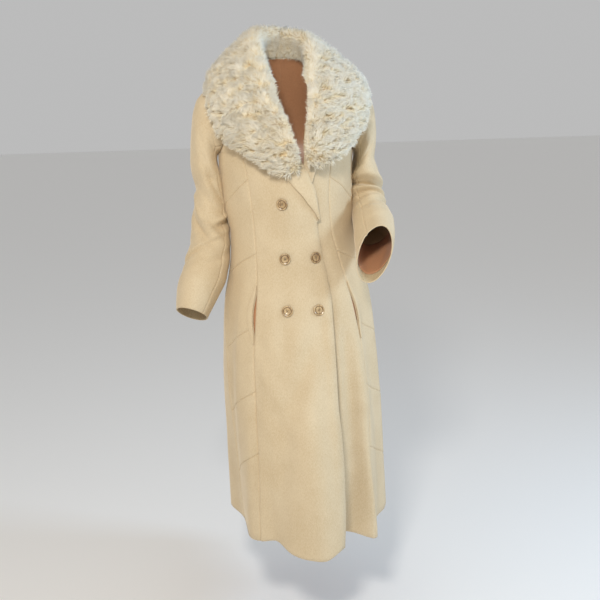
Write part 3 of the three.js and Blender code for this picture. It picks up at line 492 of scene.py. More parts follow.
def cut_size(outer, ring=False):
    """What a piece was cut to, in metres: the width and length of its flat pattern and its area,
    from the lengths along the finest rows and columns of the piece."""
    if ring:
        outer = np.concatenate([outer, outer[:, :1]], 1)
    wide = np.linalg.norm(np.diff(outer, axis=1), axis=-1).sum(1).max() * MM
    tall = np.linalg.norm(np.diff(outer, axis=0), axis=-1).sum(0).max() * MM
    a = outer[1:, 1:] - outer[:-1, :-1]
    b = outer[1:, :-1] - outer[:-1, 1:]
    area = np.linalg.norm(np.cross(a, b), axis=-1).sum() / 2 * MM**2
    return (float(wide), float(tall)), float(area)


def cloth(node, outer, inner, materials, ring=False, marks=None):
    """A piece of cloth in place of a node. The size it was cut to is worked out but not used. Its
    inner side has the second material, or the ones that marks gives for each of its faces."""
    points, faces, side = wall(outer, inner, ring)
    if marks is not None:
        side[marks.size : 2 * marks.size] = marks.ravel()
    face_material = side if len(materials) > 1 else None
    piece = new_piece(f"{node}_cloth", points, faces.tolist(), materials, face_material)
    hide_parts(node)
    flat, area = cut_size(outer, ring)
    return piece


# Materials.
def linear(colour):
    """An sRGB hex colour as linear red, green, blue and alpha."""
    values = np.array([int(colour[i : i + 2], 16) for i in (1, 3, 5)]) / 255
    values = np.where(values <= 0.04045, values / 12.92, ((values + 0.055) / 1.055) ** 2.4)
    return (*values.tolist(), 1.0)


def add_node(tree, kind, settings=None, inputs=None):
    """Adds a node. Settings are its own properties; inputs are socket values, or outputs to link."""
    made = tree.nodes.new(kind)
    for key, value in (settings or {}).items():
        setattr(made, key, value)
    for key, value in (inputs or {}).items():
        if isinstance(value, bpy.types.NodeSocket):
            tree.links.new(value, made.inputs[key])
        else:
            made.inputs[key].default_value = value
    return made


def new_material(name):
    material = bpy.data.materials.new(name)
    material.use_nodes = True
    tree = material.node_tree
    return material, tree, tree.nodes["Principled BSDF"]


def set_inputs(node, **values):
    for key, value in values.items():
        node.inputs[key.replace("_", " ")].default_value = value


def place_on_piece(tree, along=1.0):
    """The place in the piece's own coordinates. Below 1, along draws a pattern out lengthways."""
    place = add_node(tree, "ShaderNodeTexCoord").outputs["Object"]
    if along == 1.0:
        return place
    return add_node(tree, "ShaderNodeMapping", {}, {"Vector": place, "Scale": (1, 1, along)}).outputs[0]


def noise(tree, place, size, **inputs):
    """Noise with blotches of about a size in millimetres."""
    inputs = {"Vector": place, "Scale": 1000 / size, **inputs}
    return add_node(tree, "ShaderNodeTexNoise", {}, inputs).outputs["Fac"]


def calculate(tree, operation, *values):
    return add_node(tree, "ShaderNodeMath", {"operation": operation}, dict(enumerate(values))).outputs[0]


def colour_by(tree, surface, factor, *stops):
    """Gives the surface the colours of some stops, each a position and an sRGB colour. The first
    two stops are the ends."""
    ramp = add_node(tree, "ShaderNodeValToRGB", {}, {"Fac": factor})
    elements = ramp.color_ramp.elements
    for k, (position, colour) in enumerate(stops):
        element = elements[k] if k < 2 else elements.new(position)
        element.position = position
        element.color = linear(colour)
    tree.links.new(ramp.outputs["Color"], surface.inputs["Base Color"])


def bump_by(tree, surface, height, strength, distance):
    inputs = {"Height": height, "Strength": strength, "Distance": distance}
    tree.links.new(add_node(tree, "ShaderNodeBump", {}, inputs).outputs[0], surface.inputs["Normal"])


def wool_coating(name, pale, deep, nap=1.0):
    """Melton wool coating: woven, then milled and raised until a short nap hides the weave. To
    the eye: matt, softly mottled, with a pale bloom at grazing angles. The nap is drawn 2 mm
    long, coarser than real, so that it shows."""
    material, tree, surface = new_material(name)
    fibre = noise(tree, place_on_piece(tree, 0.45), 2.0, Detail=5.0, Roughness=0.65)
    cloud = noise(tree, place_on_piece(tree), 70, Detail=4.0)
    shade = calculate(tree, "MULTIPLY_ADD", cloud, 0.3, calculate(tree, "MULTIPLY", fibre, 0.7))
    colour_by(tree, surface, shade, (0.34, deep), (0.66, pale))
    bump_by(tree, surface, fibre, 0.45 * nap, 0.0006)
    set_inputs(surface, Roughness=0.88, Sheen_Weight=0.35, Sheen_Roughness=0.45, Specular_IOR_Level=0.25)
    set_inputs(surface, Sheen_Tint=linear("#fff3df"))
    return material


def satin(name, pale, deep):
    """Acetate satin: woven with long floats and pressed. To the eye: smooth, with a soft gloss
    and faint lines along the yarn, drawn 1.2 mm apart so that they show."""
    material, tree, surface = new_material(name)
    yarn = noise(tree, place_on_piece(tree, 0.06), 1.2, Detail=3.0)
    colour_by(tree, surface, yarn, (0.0, deep), (1.0, pale))
    bump_by(tree, surface, yarn, 0.2, 0.0003)
    set_inputs(surface, Roughness=0.38, Sheen_Weight=0.2, Specular_IOR_Level=0.5)
    return material


def fur(name, root, middle, tip):
    """Long-haired fur, tanned and combed. To the eye: soft, pale at the tips of the hairs, with
    painted shade that makes it darker and warmer down between the locks. The locks carry how
    far along the hair each point is."""
    material, tree, surface = new_material(name)
    along = add_node(tree, "ShaderNodeAttribute", {"attribute_name": "along"}).outputs["Fac"]
    patch = noise(tree, place_on_piece(tree), 28, Detail=3.0)
    tone = calculate(tree, "ADD", along, calculate(tree, "MULTIPLY_ADD", patch, 0.9, -0.45))
    # Painted shade: the colour runs from a darker, warmer root to a pale tip, so the fur darkens down
    # between the locks. The noise adds random patches of tone.
    colour_by(tree, surface, tone, (0.0, root), (0.85, tip), (0.38, middle))
    set_inputs(surface, Roughness=0.62, Sheen_Weight=0.25, Sheen_Roughness=0.5, Specular_IOR_Level=0.35)
    set_inputs(surface, Subsurface_Weight=0.3, Subsurface_Scale=0.005, Subsurface_Radius=(1, 0.9, 0.75))
    return material


def horn(name, dark, pale):
    """Buffalo horn, turned and polished. To the eye: beige with cloudy streaks under a gloss."""
    material, tree, surface = new_material(name)
    cloud = noise(tree, place_on_piece(tree, 0.3), 9, Detail=5.0, Distortion=1.2)
    colour_by(tree, surface, cloud, (0.36, dark), (0.64, pale))
    set_inputs(surface, Roughness=0.28, IOR=1.54, Coat_Weight=0.4, Coat_Roughness=0.15)
    return material


def thread(name, pale, dark):
    """Waxed linen thread: twisted yarn, matt, drawn as plain strands."""
    material, tree, surface = new_material(name)
    colour_by(tree, surface, noise(tree, place_on_piece(tree), 0.6), (0.0, dark), (1.0, pale))
    set_inputs(surface, Roughness=0.8, Sheen_Weight=0.2)
    return material


WOOL = wool_coating("melton wool coating, milled and raised", "#dac8a8", "#c8b28e")
FACING = wool_coating("melton wool coating, wrong side", "#cfbc97", "#ab9470", 0.6)
SATIN_LINING = satin("acetate satin, woven and pressed", "#cf9a72", "#a87450")
# The fur's darker, warmer root colour is painted shade down between the locks.
FUR = fur("long fur, tanned and combed", "#c4995e", "#efdbb0", "#fdf4dd")
HORN = horn("buffalo horn, turned and polished", "#8f7049", "#cdb083")
# A darker horn, painted as shade on the button's side, in the groove inside its rim and in its holes.
HORN_PAINTED_SHADE = horn("buffalo horn, turned, with painted shade in the grooves", "#4f3a22", "#7a5c38")
THREAD = thread("linen thread, twisted and waxed", "#b89f76", "#6e5a3e")


# Body panels.
ROW_STEP, COLUMN_STEP = 9.0, 9.0
PANEL_LENGTH = 960  # from the hem to the armpit
SIDE_FRONT_WIDTH, SIDE_BACK_WIDTH = 125, 200
MIDDLE_Z = -900.0  # where a long panel's width is measured
FACING_SHARE = 0.45  # of a front's width
SLANT_COSINE = 0.82  # of the slanting seams' angle
ABOVE_ARMPIT = np.linspace(0, 1, 30)[1:, None] * TOP_SHARE
PANEL_MATERIALS = [WOOL, SATIN_LINING]


def seam_gap(z):
    return np.degrees(SEAM / 2 / BODY["front"](z))


def arc(angle0, angle1, z):
    """The length round the body between two angles, near enough for a seam's relief."""
    radius = np.linalg.norm(body_form((angle0 + angle1) / 2, z)[..., :2], axis=-1)
    return np.radians(np.abs(angle1 - angle0)) * radius


def below_armpit(start, end, c, way=1):
    """The angles and heights of a panel's rows from the hem to the armpit, between two seams."""
    v = np.linspace(0, 1, round(PANEL_LENGTH / ROW_STEP))[:, None]
    z = mix(HEM["z"](mix(start(HEM_LEVEL), end(HEM_LEVEL), c)), ARMPIT_Z, v)
    gap = way * seam_gap(z)
    return mix(start(z) + gap, end(z) - gap, c), z


def edge_relief(c, breadth, first=True, last=True):
    """The relief of a panel's two long edges, where they are sewn."""
    relief = seam_profile(c * breadth) if first else 0
    return relief + (seam_profile((1 - c) * breadth) if last else 0)


def body_slope(angle, z, layer="none"):
    """How the body's form moves for each millimetre up."""
    return (body_form(angle, z, layer) - body_form(angle, z - 6, layer)) / 6


def long_panel(start, end, hand, top_start, top_end, layer, sewn, shape=None):
    """A panel from the hem to the shoulder line, between two seams. They are given as angles by
    height and, at the top, as places on the shoulder line. sewn says whether the first and last
    edges are sewn. shape adds relief, from the distances to both edges and the height. Gives a
    function of the depth."""
    width = float(arc(start(MIDDLE_Z), end(MIDDLE_Z), np.array(MIDDLE_Z)))
    c = steps_with_fine_ends(width, COLUMN_STEP, *sewn)[None, :]
    angle, z = below_armpit(start, end, c)
    breadth = arc(start(z), end(z), z)
    relief = edge_relief(c, breadth, *sewn)
    if shape:
        relief = relief + shape(c * breadth, (1 - c) * breadth, z)
    top = shoulder_point(mix(top_start, top_end, c[0]), hand)
    share = np.broadcast_to(ABOVE_ARMPIT, (len(ABOVE_ARMPIT), c.size))
    high_relief = relief[-1:] + seam_profile((TOP_SHARE + 0.006 - ABOVE_ARMPIT) * 160)

    def at(out):
        low = body_point(angle, z, layer, out + relief)
        base = body_point(angle[-1], z[-1], layer)
        slope = body_slope(angle[-1], z[-1], layer)
        place = rising_point(base[None], slope[None], top[None], share)
        return np.concatenate([low, away_from_chest(place, out + high_relief)])

    return at


def beside_armhole(angle, z, hand, facing, c, out):
    """The rows of a side panel above the armpit, between its long seam and the armhole. The row
    below is given by its angles and heights. They keep its bulge, which fades towards the
    shoulder. facing is 1 in front of the arm and -1 behind it."""
    base, slope = body_point(angle, z), body_slope(angle, z)
    top = shoulder_point(np.array(PRINCESS_SHARE - PRINCESS_GAP), hand)
    share = np.broadcast_to(ABOVE_ARMPIT, (len(ABOVE_ARMPIT), c.size))
    at_seam = rising_point(base[None, :1], slope[None, :1], top, ABOVE_ARMPIT)
    at_hole = armhole_point(180 * (1 - facing * ABOVE_ARMPIT), hand)
    chord = mix(base[:1], base[-1:], c[0][:, None])
    bulge = (base - chord)[None] * ((1 - share**2) ** 2)[..., None]
    place = mix(at_seam, at_hole, c[..., None]) + bulge
    return away_from_chest(place, np.broadcast_to(out, share.shape))


def lifted_edge(from_seam, from_edge, z):
    """The right front's free edge stands a little off the front under it, more towards the hem,
    and a ridge lies beside its long seam."""
    lift = (1.5 + 8 * smooth(-z, 480, 800)) * np.exp(-((from_edge / 20) ** 2))
    lift = lift + 1.6 * np.exp(-(((from_edge - 3) / 3.5) ** 2))
    return lift + 1.7 * smooth(-z, 500, 600) * np.exp(-(((from_seam - 5.5) / 3.2) ** 2))


def valley_beside_edge(from_edge, _, z):
    """The left front sinks a little where the right front's free edge ends over it."""
    lap = arc(front_edge("left", z), front_edge("right", z), z)
    return -9 * smooth(-z, 430, 700) * np.exp(-(((from_edge - lap - 7) / 11) ** 2))


def build_fronts():
    """The two fronts. Inside, the half beside the free edge is faced with the wool itself."""
    by_seam = PRINCESS_SHARE + PRINCESS_GAP
    right = long_panel(
        SEAMS["princessR"], lambda z: front_edge("right", z), -1, by_seam, 1, "right", (True, False),
        lifted_edge,
    )
    left = long_panel(
        lambda z: front_edge("left", z), SEAMS["princessL"], 1, 1, by_seam, "left", (False, True),
        valley_beside_edge,
    )
    for side, at in (("right", right), ("left", left)):
        outer, inner = at(0.0), at(-CLOTH)
        rows, columns = outer.shape[:2]
        share = np.linspace(0, 1, columns - 1)
        from_edge = 1 - share if side == "right" else share
        marks = np.broadcast_to(np.where(from_edge < FACING_SHARE, 2, 1), (rows - 1, columns - 1))
        cloth(f"front_{side}", outer, inner, [WOOL, SATIN_LINING, FACING], marks=marks)


def build_side_fronts(hand):
    """The pieces of a side panel, each sewn to the next along a slanting seam."""
    word = "right" if hand < 0 else "left"
    princess = SEAMS["princessR" if hand < 0 else "princessL"]
    side = SEAMS["sideR" if hand < 0 else "sideL"]

    def angle_at(c, z):
        gape = np.degrees(pocket_gape(z) / np.linalg.norm(body_form(princess(z), z)[..., :2], axis=-1))
        return mix(princess(z) + hand * (seam_gap(z) + gape), side(z) - hand * seam_gap(z), c)

    c = steps_with_fine_ends(SIDE_FRONT_WIDTH, COLUMN_STEP)[None, :]
    lines = [height - drop * c for height, drop in SLANTS]
    hem_z = HEM["z"](angle_at(c, np.full(c.shape, float(HEM_LEVEL))))
    edges = [hem_z, *lines, np.full(c.shape, float(ARMPIT_Z))]
    for k in range(len(edges) - 1):
        is_top = k == len(edges) - 2
        low, high = edges[k], edges[k + 1]
        height = float((high - low).mean())
        v = steps_with_fine_ends(height, ROW_STEP, k > 0, not is_top)[:, None]
        z = mix(low + (SEAM / 2 if k else 0), high - (0 if is_top else SEAM / 2), v)
        angle = angle_at(c, z)
        relief = edge_relief(c, arc(princess(z), side(z), z))
        if k:
            relief = relief + seam_profile((z - low) * SLANT_COSINE)
        if not is_top:
            relief = relief + seam_profile((high - z) * SLANT_COSINE)

        def at(out):
            grid = body_point(angle, z, "none", out + relief)
            if is_top:
                upper = beside_armhole(angle[-1], z[-1], hand, 1, c, out + relief[-1:])
                grid = np.concatenate([grid, upper])
            return grid[:, ::-1] if hand < 0 else grid

        cloth(f"side_front_{word}_{k + 1}", at(0.0), at(-CLOTH), PANEL_MATERIALS)


def build_backs(hand):
    word = "right" if hand < 0 else "left"
    seam_at = SEAMS["backR" if hand < 0 else "backL"]
    side = SEAMS["sideR" if hand < 0 else "sideL"]

    def middle(z):
        return hand * 180.0 + 0 * np.asarray(z, float)

    by_seam = PRINCESS_SHARE + PRINCESS_GAP
    ends = (middle, seam_at, hand, 2, by_seam) if hand < 0 else (seam_at, middle, hand, by_seam, 2)
    at = long_panel(*ends, "none", (True, True))
    cloth(f"back_{word}", at(0.0), at(-CLOTH), PANEL_MATERIALS)

    c = steps_with_fine_ends(SIDE_BACK_WIDTH, COLUMN_STEP)[None, :]
    angle, z = below_armpit(seam_at, side, c, -hand)
    relief = edge_relief(c, arc(seam_at(z), side(z), z))

    def side_at(out):
        low = body_point(angle, z, "none", out + relief)
        upper = beside_armhole(angle[-1], z[-1], hand, -1, c, out + relief[-1:])
        grid = np.concatenate([low, upper])
        return grid if hand < 0 else grid[:, ::-1]

    cloth(f"side_back_{word}", side_at(0.0), side_at(-CLOTH), PANEL_MATERIALS)


# Pockets in the princess seams.
POCKET_TOP, POCKET_BOTTOM = -572, -706
POCKET_GAPE = 8  # how wide the mouth stands open
POCKET_LIP, LIP_CLOTH = 15, 1.6
POCKET_LAP, POCKET_DEEP = 16, 4.5  # how far the facing reaches beyond the mouth, and lies behind it


def pocket_gape(z):
    return POCKET_GAPE * np.sin(np.pi * between(z, POCKET_BOTTOM, POCKET_TOP)) ** 2


def build_pocket(hand):
    """A lip along the side panel's edge, and the facing seen behind the mouth."""
    word = "right" if hand < 0 else "left"
    princess = SEAMS["princessR" if hand < 0 else "princessL"]

    def strip(start, end, lift, extra):
        z = np.linspace(POCKET_BOTTOM - extra, POCKET_TOP + extra, 40)[:, None]
        c = np.linspace(0, 1, 9)[None, :]
        radius = np.linalg.norm(body_form(princess(z), z)[..., :2], axis=-1)
        angle = princess(z) + hand * np.degrees(mix(start(z), end(z), c) / radius)
        z = np.broadcast_to(z, angle.shape)
        crown = 0.8 * np.sin(np.pi * c) ** 0.5

        def at(out):
            grid = body_point(angle, z, "none", lift + out + (crown if lift > 0 else 0))
            return grid[:, ::-1] if hand < 0 else grid

        return at

    def lip_end(z):
        share = between(z, POCKET_BOTTOM - 4, POCKET_TOP + 4)
        return pocket_gape(z) + 4 + (POCKET_LIP - 3) * np.sin(np.pi * share) ** 0.7

    lip = strip(lambda z: pocket_gape(z) + 1, lip_end, SATIN + LAY + 0.6, 4)
    cloth(f"pocket_lip_{word}", lip(0.0), lip(-LIP_CLOTH), [WOOL])
    far = POCKET_LAP + POCKET_GAPE
    behind = strip(lambda z: -POCKET_LAP + 0 * z, lambda z: far + 0 * z, -POCKET_DEEP, 8)
    cloth(f"pocket_facing_{word}", behind(0.0), behind(-SATIN), [SATIN_LINING])


def build_lapel(side, table, z_low, z_high, lift):
    """A strip turned back at the roll line, lying on its own front."""
    v = np.linspace(0, 1, 34)[:, None]
    c = np.linspace(0, 1, 16)[None, :]
    z = mix(z_low, z_high, v)
    roll, edge = table["roll"](z), table["edge"](z)
    x = mix(edge, roll, c) if side == "right" else mix(roll, edge, c)
    fold = 1 - c if side == "right" else c
    z = np.broadcast_to(z, x.shape)
    free_edge = 0.9 * np.exp(-(((1 - fold) * np.abs(roll - edge) / 4) ** 2))

    def at(out):
        return front_point(x, z, side, lift(z, fold) - free_edge + out)

    cloth(f"lapel_{side}", at(0.0), at(-CLOTH), [WOOL, FACING])


# Sleeves: the middle of each section, its half axis towards the outside and towards the front.
SLEEVE_NAMES = "at x y z ux uz vx vy vz"
SLEEVE_RIGHT = curves(
    SLEEVE_NAMES,
    (1, -203, 5, -180, -17, 76, 0, -72, 0),
    (2, -210.5, 6, -193, -23, 71, 0, -70, 0),
    (3, -215.5, 7, -214, -28, 62, 0, -68, 0),
    (4, -217.5, 8, -242, -32, 50, 0, -67, 0),
    (5, -218, 10, -277, -36, 37, 0, -66, 0),
    (6, -216, 13, -315, -39, 25, 0, -65, 1),
    (7, -209.5, 16, -349, -37.5, 14, 0, -64, 2),
    (8, -209, 18, -379, -42, 8, 0, -66, 4),
    (9, -211.5, 17, -410, -46.5, 3, 0, -68, 8),
    (10, -212.5, 12, -443, -49.5, -1, 0, -69, 13),
    (11, -214.5, 2, -477, -52.5, -2, 0, -68, 18),
    (12, -221, -10, -509, -57, -1, 0, -67, 22),
    (13, -230, -24, -542, -59, 1, 0, -66, 25),
    (14, -241, -38, -574, -59, 5, 0, -65, 27),
    (15, -255, -52, -608, -51, 8, 0, -64, 27),
    (16, -269, -64, -648, -39, 13, 0, -62, 27),
)
SLEEVE_LEFT = curves(
    SLEEVE_NAMES,
    (1, 175, 5, -180, 15, 76, 0, -72, 0),
    (2, 182.5, 5, -193, 20.5, 71, 0, -70, 0),
    (3, 187, 5, -214, 25, 62, 0, -68, 1),
    (4, 188.5, 5, -242, 28.5, 50, 0, -67, 4),
    (5, 186.5, 6, -275, 30.5, 33, 0, -65, 12),
    (6, 183, 10, -309, 31, 18, 0, -64, 16),
    (7, 189, 13, -343, 38, 7, 0, -64, 20),
    (8, 193, 11, -375, 43, 2, 0, -59, 30),
    (9, 194, -7, -398, 44, 0, 0, -54, 41),
    (10, 193, -37, -412, 45, 0, 2, -46, 49),
    (11, 192, -73, -424, 47, 0, 3, -37, 52),
    (12, 190, -111, -438, 49, 0, 5, -28, 55),
    (13, 186, -148, -454, 49, 0, 8, -19, 58),
    (14, 181, -185, -471, 46, 0, 11, -10, 64),
    (15, 173, -218, -487, 42, 2, 13, -2, 70),
)

# Folds of the sleeves. Their places are a section and degrees round. A fold reaches some sections
# along and some degrees round, slants by sections for each radian, and has a height. The larger
# ones are the main form's own.
SLEEVE_RIGHT_FOLDS = (
    # section, round, long, wide, slant, height
    (6.3, 60, 0.42, 95, -0.8, -6), (9.5, 72, 0.22, 50, 1.75, 10), (9.15, 132, 0.22, 32, -0.9, 7),
    (10.05, 54, 0.34, 46, 1.75, -14), (9.8, 132, 0.32, 28, -0.6, -9), (8.9, 92, 0.4, 40, 0.4, 3),
    (11.9, 44, 0.24, 60, -0.8, -11), (11.35, 70, 0.3, 70, -0.8, 7), (12.6, 118, 0.4, 60, -0.9, -5),
    (8.2, 250, 0.5, 70, 0.9, -5), (9.6, 270, 0.5, 80, -0.7, -5), (7.4, 20, 0.22, 60, -0.6, 2.2),
    (10.3, 80, 0.25, 50, 1.2, 2.4), (10.7, 20, 0.25, 50, -1, -2.4), (12.8, 40, 0.3, 60, -0.6, -2),
    (5.2, 70, 0.3, 60, 0.6, -2), (4.3, 90, 0.3, 50, 0.9, 1.8), (5.4, 180, 2.2, 70, 0, 10),
    (4.6, 172, 1.3, 60, 0, 8), (7.6, 80, 0.3, 60, 1.2, -3), (5.9, 108, 0.5, 24, 3.4, -8),
    (6.2, 80, 0.5, 24, 3.4, 5),
)
SLEEVE_LEFT_FOLDS = (
    # section, round, long, wide, slant, height
    (6, 75, 0.45, 110, -0.35, 7), (7.1, 85, 0.4, 100, -0.45, -14), (8.1, 95, 0.45, 80, -0.3, 5),
    (9, 100, 0.45, 70, 0.4, -5), (10.3, 60, 0.6, 70, 0.7, -4), (5.1, 330, 0.5, 70, 0.4, -4),
    (9.2, 275, 0.6, 70, 0.5, -5), (7.8, 60, 0.2, 50, -0.5, -3), (9.7, 70, 0.22, 45, 0.5, 2.4),
    (11.2, 100, 0.3, 60, -0.5, -2.2), (4.4, 80, 0.3, 60, 0.5, -2.2), (12.4, 60, 0.35, 60, 0.4, 2),
    (5.6, 180, 2.2, 70, 0, 9), (7.5, 78, 0.16, 85, -0.42, -20), (6.95, 50, 0.36, 85, -0.42, 12),
    (8, 80, 0.25, 80, -0.3, 6), (8.45, 95, 0.16, 60, -0.1, -8), (9.4, 60, 0.3, 70, 0.5, 4),
    (10, 40, 0.22, 60, 0.6, -4),
)
SLEEVE_SEAM_FRONT, SLEEVE_SEAM_BACK = 135.0, -112.5
SLEEVE_SEAM = 0.28  # half the seam's gap, in degrees
SLEEVE_ROWS, SLEEVE_STEP, SLEEVE_AROUND = 170, 8, 370


def sleeve_form(sleeve, at, angle):
    """A sleeve's outside: an oval on two half axes at each section, with its folds. Before the
    first section it runs straight from the armhole's edge."""
    table, folds, hand = sleeve
    a = np.radians(angle)
    s = np.maximum(at, 1)
    middle = np.stack([table[k](s) for k in "xyz"], -1)
    zero = 0 * s
    u = np.stack([table["ux"](s), zero, table["uz"](s)], -1)
    v = np.stack([table[k](s) for k in ("vx", "vy", "vz")], -1)
    arm = u * np.cos(a)[..., None] + v * np.sin(a)[..., None]
    out = 0.5 * np.sin(a * 3 + s * 2.1) * np.sin(s * 2.9 - a * 2)
    for place, round_at, long, wide, slant, height in folds:
        turn = (angle - round_at + 180) % 360 - 180
        along = (s - place - slant * np.radians(turn)) / long
        out = out + height * np.exp(-(along**2) - (turn / wide) ** 2)
    point = middle + arm * (1 + out / np.linalg.norm(arm, axis=-1))[..., None]
    near = armhole_point(angle, hand, 0.9)
    return np.where((at < 1)[..., None], mix(near, point, at[..., None]), point)


def sleeve_point(sleeve, at, angle, out):
    at, angle = np.broadcast_arrays(np.asarray(at, float), np.asarray(angle, float))
    along = sleeve_form(sleeve, at + 0.25, angle) - sleeve_form(sleeve, at - 0.25, angle)
    round_it = sleeve_form(sleeve, at, angle + 6) - sleeve_form(sleeve, at, angle - 6)
    normal = unit(np.cross(along, round_it)) * -sleeve[2]
    return sleeve_form(sleeve, at, angle) + normal * np.asarray(out)[..., None]


def build_sleeve(hand, table, folds, last):
    """A sleeve of two parts, and the lining seen inside its cuff."""
    word = "right" if hand < 0 else "left"
    sleeve = (table, folds, hand)

    def layer(rows, angle, out):
        grid = sleeve_point(sleeve, rows, angle, out)
        return grid[::-1] if hand < 0 else grid

    rows = np.linspace(0, last, SLEEVE_ROWS)[:, None]
    for part, start, end in (
        ("upper", SLEEVE_SEAM_BACK, SLEEVE_SEAM_FRONT),
        ("under", SLEEVE_SEAM_FRONT, 360 + SLEEVE_SEAM_BACK),
    ):
        width = (end - start) / 360 * SLEEVE_AROUND
        c = steps_with_fine_ends(width, SLEEVE_STEP)[None, :]
        angle = mix(start + SLEEVE_SEAM, end - SLEEVE_SEAM, c)
        relief = edge_relief(c, width) + seam_profile(rows * 22 + 0.6) * (rows < 0.8)
        node = f"sleeve_{part}_{word}"
        cloth(node, layer(rows, angle, relief), layer(rows, angle, relief - CLOTH), [WOOL, FACING])

    angle = np.linspace(SLEEVE_SEAM_BACK, SLEEVE_SEAM_BACK + 360, 61)[None, :-1]
    rows = np.linspace(last * 19 / 24, last * 23 / 24, 16)[:, None]
    wrinkle = 0.5 * np.sin(np.radians(angle) * 9 + rows * 3)
    outer = layer(rows, angle, -(CLOTH + LAY))
    inner = layer(rows, angle, -(CLOTH + LAY + SATIN) + wrinkle)
    cloth(f"sleeve_lining_{word}", outer, inner, [SATIN_LINING], ring=True)


# The collar's skin, from the wearer's right tip round the neck to the left tip: the roll line,
# the outer edge, how far it arches between them, and how deep it stands in the neck.
COLLAR = curves(
    "i rx ry rz ex ey ez arch stand",
    (0, -10, -175, -286, -32, -177, -293, 1, 4),
    (1, -7, -173, -268, -64, -172, -285, 2, 4),
    (2, -9, -168, -242, -106, -152, -257, 5, 5),
    (3, -25, -153, -194, -152, -117, -224, 10, 6),
    (4, -44, -129, -144, -183, -90, -184, 14, 8),
    (5, -62, -92, -94, -196, -72, -148, 16, 14),
    (6, -74, -46, -42, -200, -44, -114, 14, 26),
    (7, -83, -6, 2, -198, 6, -86, 9, 36),
    (8, -81, 28, 24, -190, 52, -96, 14, 48),
    (9, -66, 58, 36, -164, 99, -120, 20, 54),
    (10, -40, 76, 40, -112, 131, -142, 24, 56),
    (11, -12, 82, 38, -46, 148, -152, 25, 54),
    (12, 14, 77, 33, 26, 148, -152, 25, 50),
    (13, 36, 60, 26, 88, 131, -142, 23, 46),
    (14, 50, 32, 15, 138, 98, -120, 19, 42),
    (15, 55, 0, -2, 164, 52, -96, 14, 34),
    (16, 53, -38, -34, 174, 4, -84, 10, 26),
    (17, 49, -78, -78, 181, -44, -110, 14, 14),
    (18, 41, -116, -126, 178, -82, -146, 14, 8),
    (19, 34, -142, -176, 163, -112, -184, 12, 6),
    (20, 28, -160, -222, 138, -136, -218, 8, 5),
    (21, 26, -170, -250, 104, -156, -250, 4, 4),
    (22, 28, -173, -268, 66, -170, -271, 1, 4),
)
COLLAR_COLUMNS, STAND_ROWS, FALL_ROWS = 34, 2, 7
COLLAR_CLEAR = 7.5  # how far the skin stays clear of the cloth under it
ROLL_SHARE = 0.23  # where the roll lies on the way from the neck seam to the edge
# The pelt under the locks takes a darker fur tone: painted shade between the locks.
PELT_SHADE_TONE = 0.45
LOCKS = 66000
LOCK_PIECES = 5
TUFT = 13.0  # millimetres across a tuft of locks that lie together
LOCK_SIDES = 3
LOCK_RINGS = (0.0, 0.52)  # where along a lock its rings of points are
LOCK_SIZES = (1.0, 0.8)  # and their size, as a share of the lock's thickness


def cloth_reach():
    """A function that gives how far the coat's cloth reaches from the middle of the chest."""
    corners, triangles, count = [], [], 0
    for name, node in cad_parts.items():
        if name.startswith(("front", "side", "back", "sleeve_u", "lapel")):
            co = np.empty(len(node.data.vertices) * 3, np.float32)
            node.data.vertices.foreach_get("co", co)
            tri = np.empty(len(node.data.loops), np.int32)
            node.data.loops.foreach_get("vertex_index", tri)
            triangles.append(tri.reshape(-1, 3) + count)
            corners.append(co.reshape(-1, 3))
            count += len(corners[-1])
    tree = BVHTree.FromPolygons(np.concatenate(corners).tolist(), np.concatenate(triangles).tolist())
    chest = Vector(CHEST * MM)

    def reach(direction):
        way = Vector(direction)
        hit = tree.ray_cast(chest + way, -way, 1.0)[0]
        return 0.0 if hit is None else (hit - chest).length / MM

    return reach


def refined(grid, times):
    """The grid with more columns and rows, on Catmull-Rom curves through its points."""
    for axis in (0, 1):
        g = np.moveaxis(grid, axis, 0)
        padded = np.concatenate([2 * g[:1] - g[1:2], g, 2 * g[-1:] - g[-2:-1]])
        at = np.linspace(0, len(g) - 1, (len(g) - 1) * times + 1)
        i = np.minimum(at.astype(int), len(g) - 2)
        s = (at - i).reshape(-1, *[1] * (g.ndim - 1))
        p0, p1, p2, p3 = (padded[i + k] for k in range(4))
        square, cube = 2 * p0 - 5 * p1 + 4 * p2 - p3, 3 * p1 - p0 - 3 * p2 + p3
        g = 0.5 * (2 * p1 + (p2 - p0) * s + square * s**2 + cube * s**3)
        grid = np.moveaxis(g, 0, axis)
    return grid


def collar_skin():
    """The collar's skin: rows from the neck seam up the stand, over the roll and down the fall,
    which lies clear of the cloth under it."""
    i = np.linspace(0, 22, COLLAR_COLUMNS + 1)
    roll = np.stack([COLLAR[k](i) for k in ("rx", "ry", "rz")], -1)
    edge = np.stack([COLLAR[k](i) for k in ("ex", "ey", "ez")], -1)
    stand, arch = COLLAR["stand"](i)[:, None], COLLAR["arch"](i)[:, None]
    towards_neck = np.array([LEAN, 0, 0]) - roll
    towards_neck[:, 2] = 0
    down = unit(unit(towards_neck) * 0.08 + [0, 0, -1])
    base = roll + unit(mix(unit(roll - edge), down, smooth(stand, 6, 30))) * stand
    control = mix(roll, edge, 0.45)
    control = control + unit(control - CHEST) * 2 * arch
    rows = [mix(base, roll, k / STAND_ROWS) for k in range(STAND_ROWS)]
    reach = cloth_reach()
    for w in np.linspace(0, 1, FALL_ROWS + 1):
        row = roll * (1 - w) ** 2 + control * 2 * w * (1 - w) + edge * w**2
        way = unit(row - CHEST)
        clear = np.array([reach(d.tolist()) for d in way]) + COLLAR_CLEAR
        rows.append(CHEST + way * np.maximum(np.linalg.norm(row - CHEST, axis=-1), clear)[:, None])
    return np.array(rows)


def grid_normals(grid):
    up, along = np.gradient(grid, axis=0), np.gradient(grid, axis=1)
    return unit(np.cross(along, up))


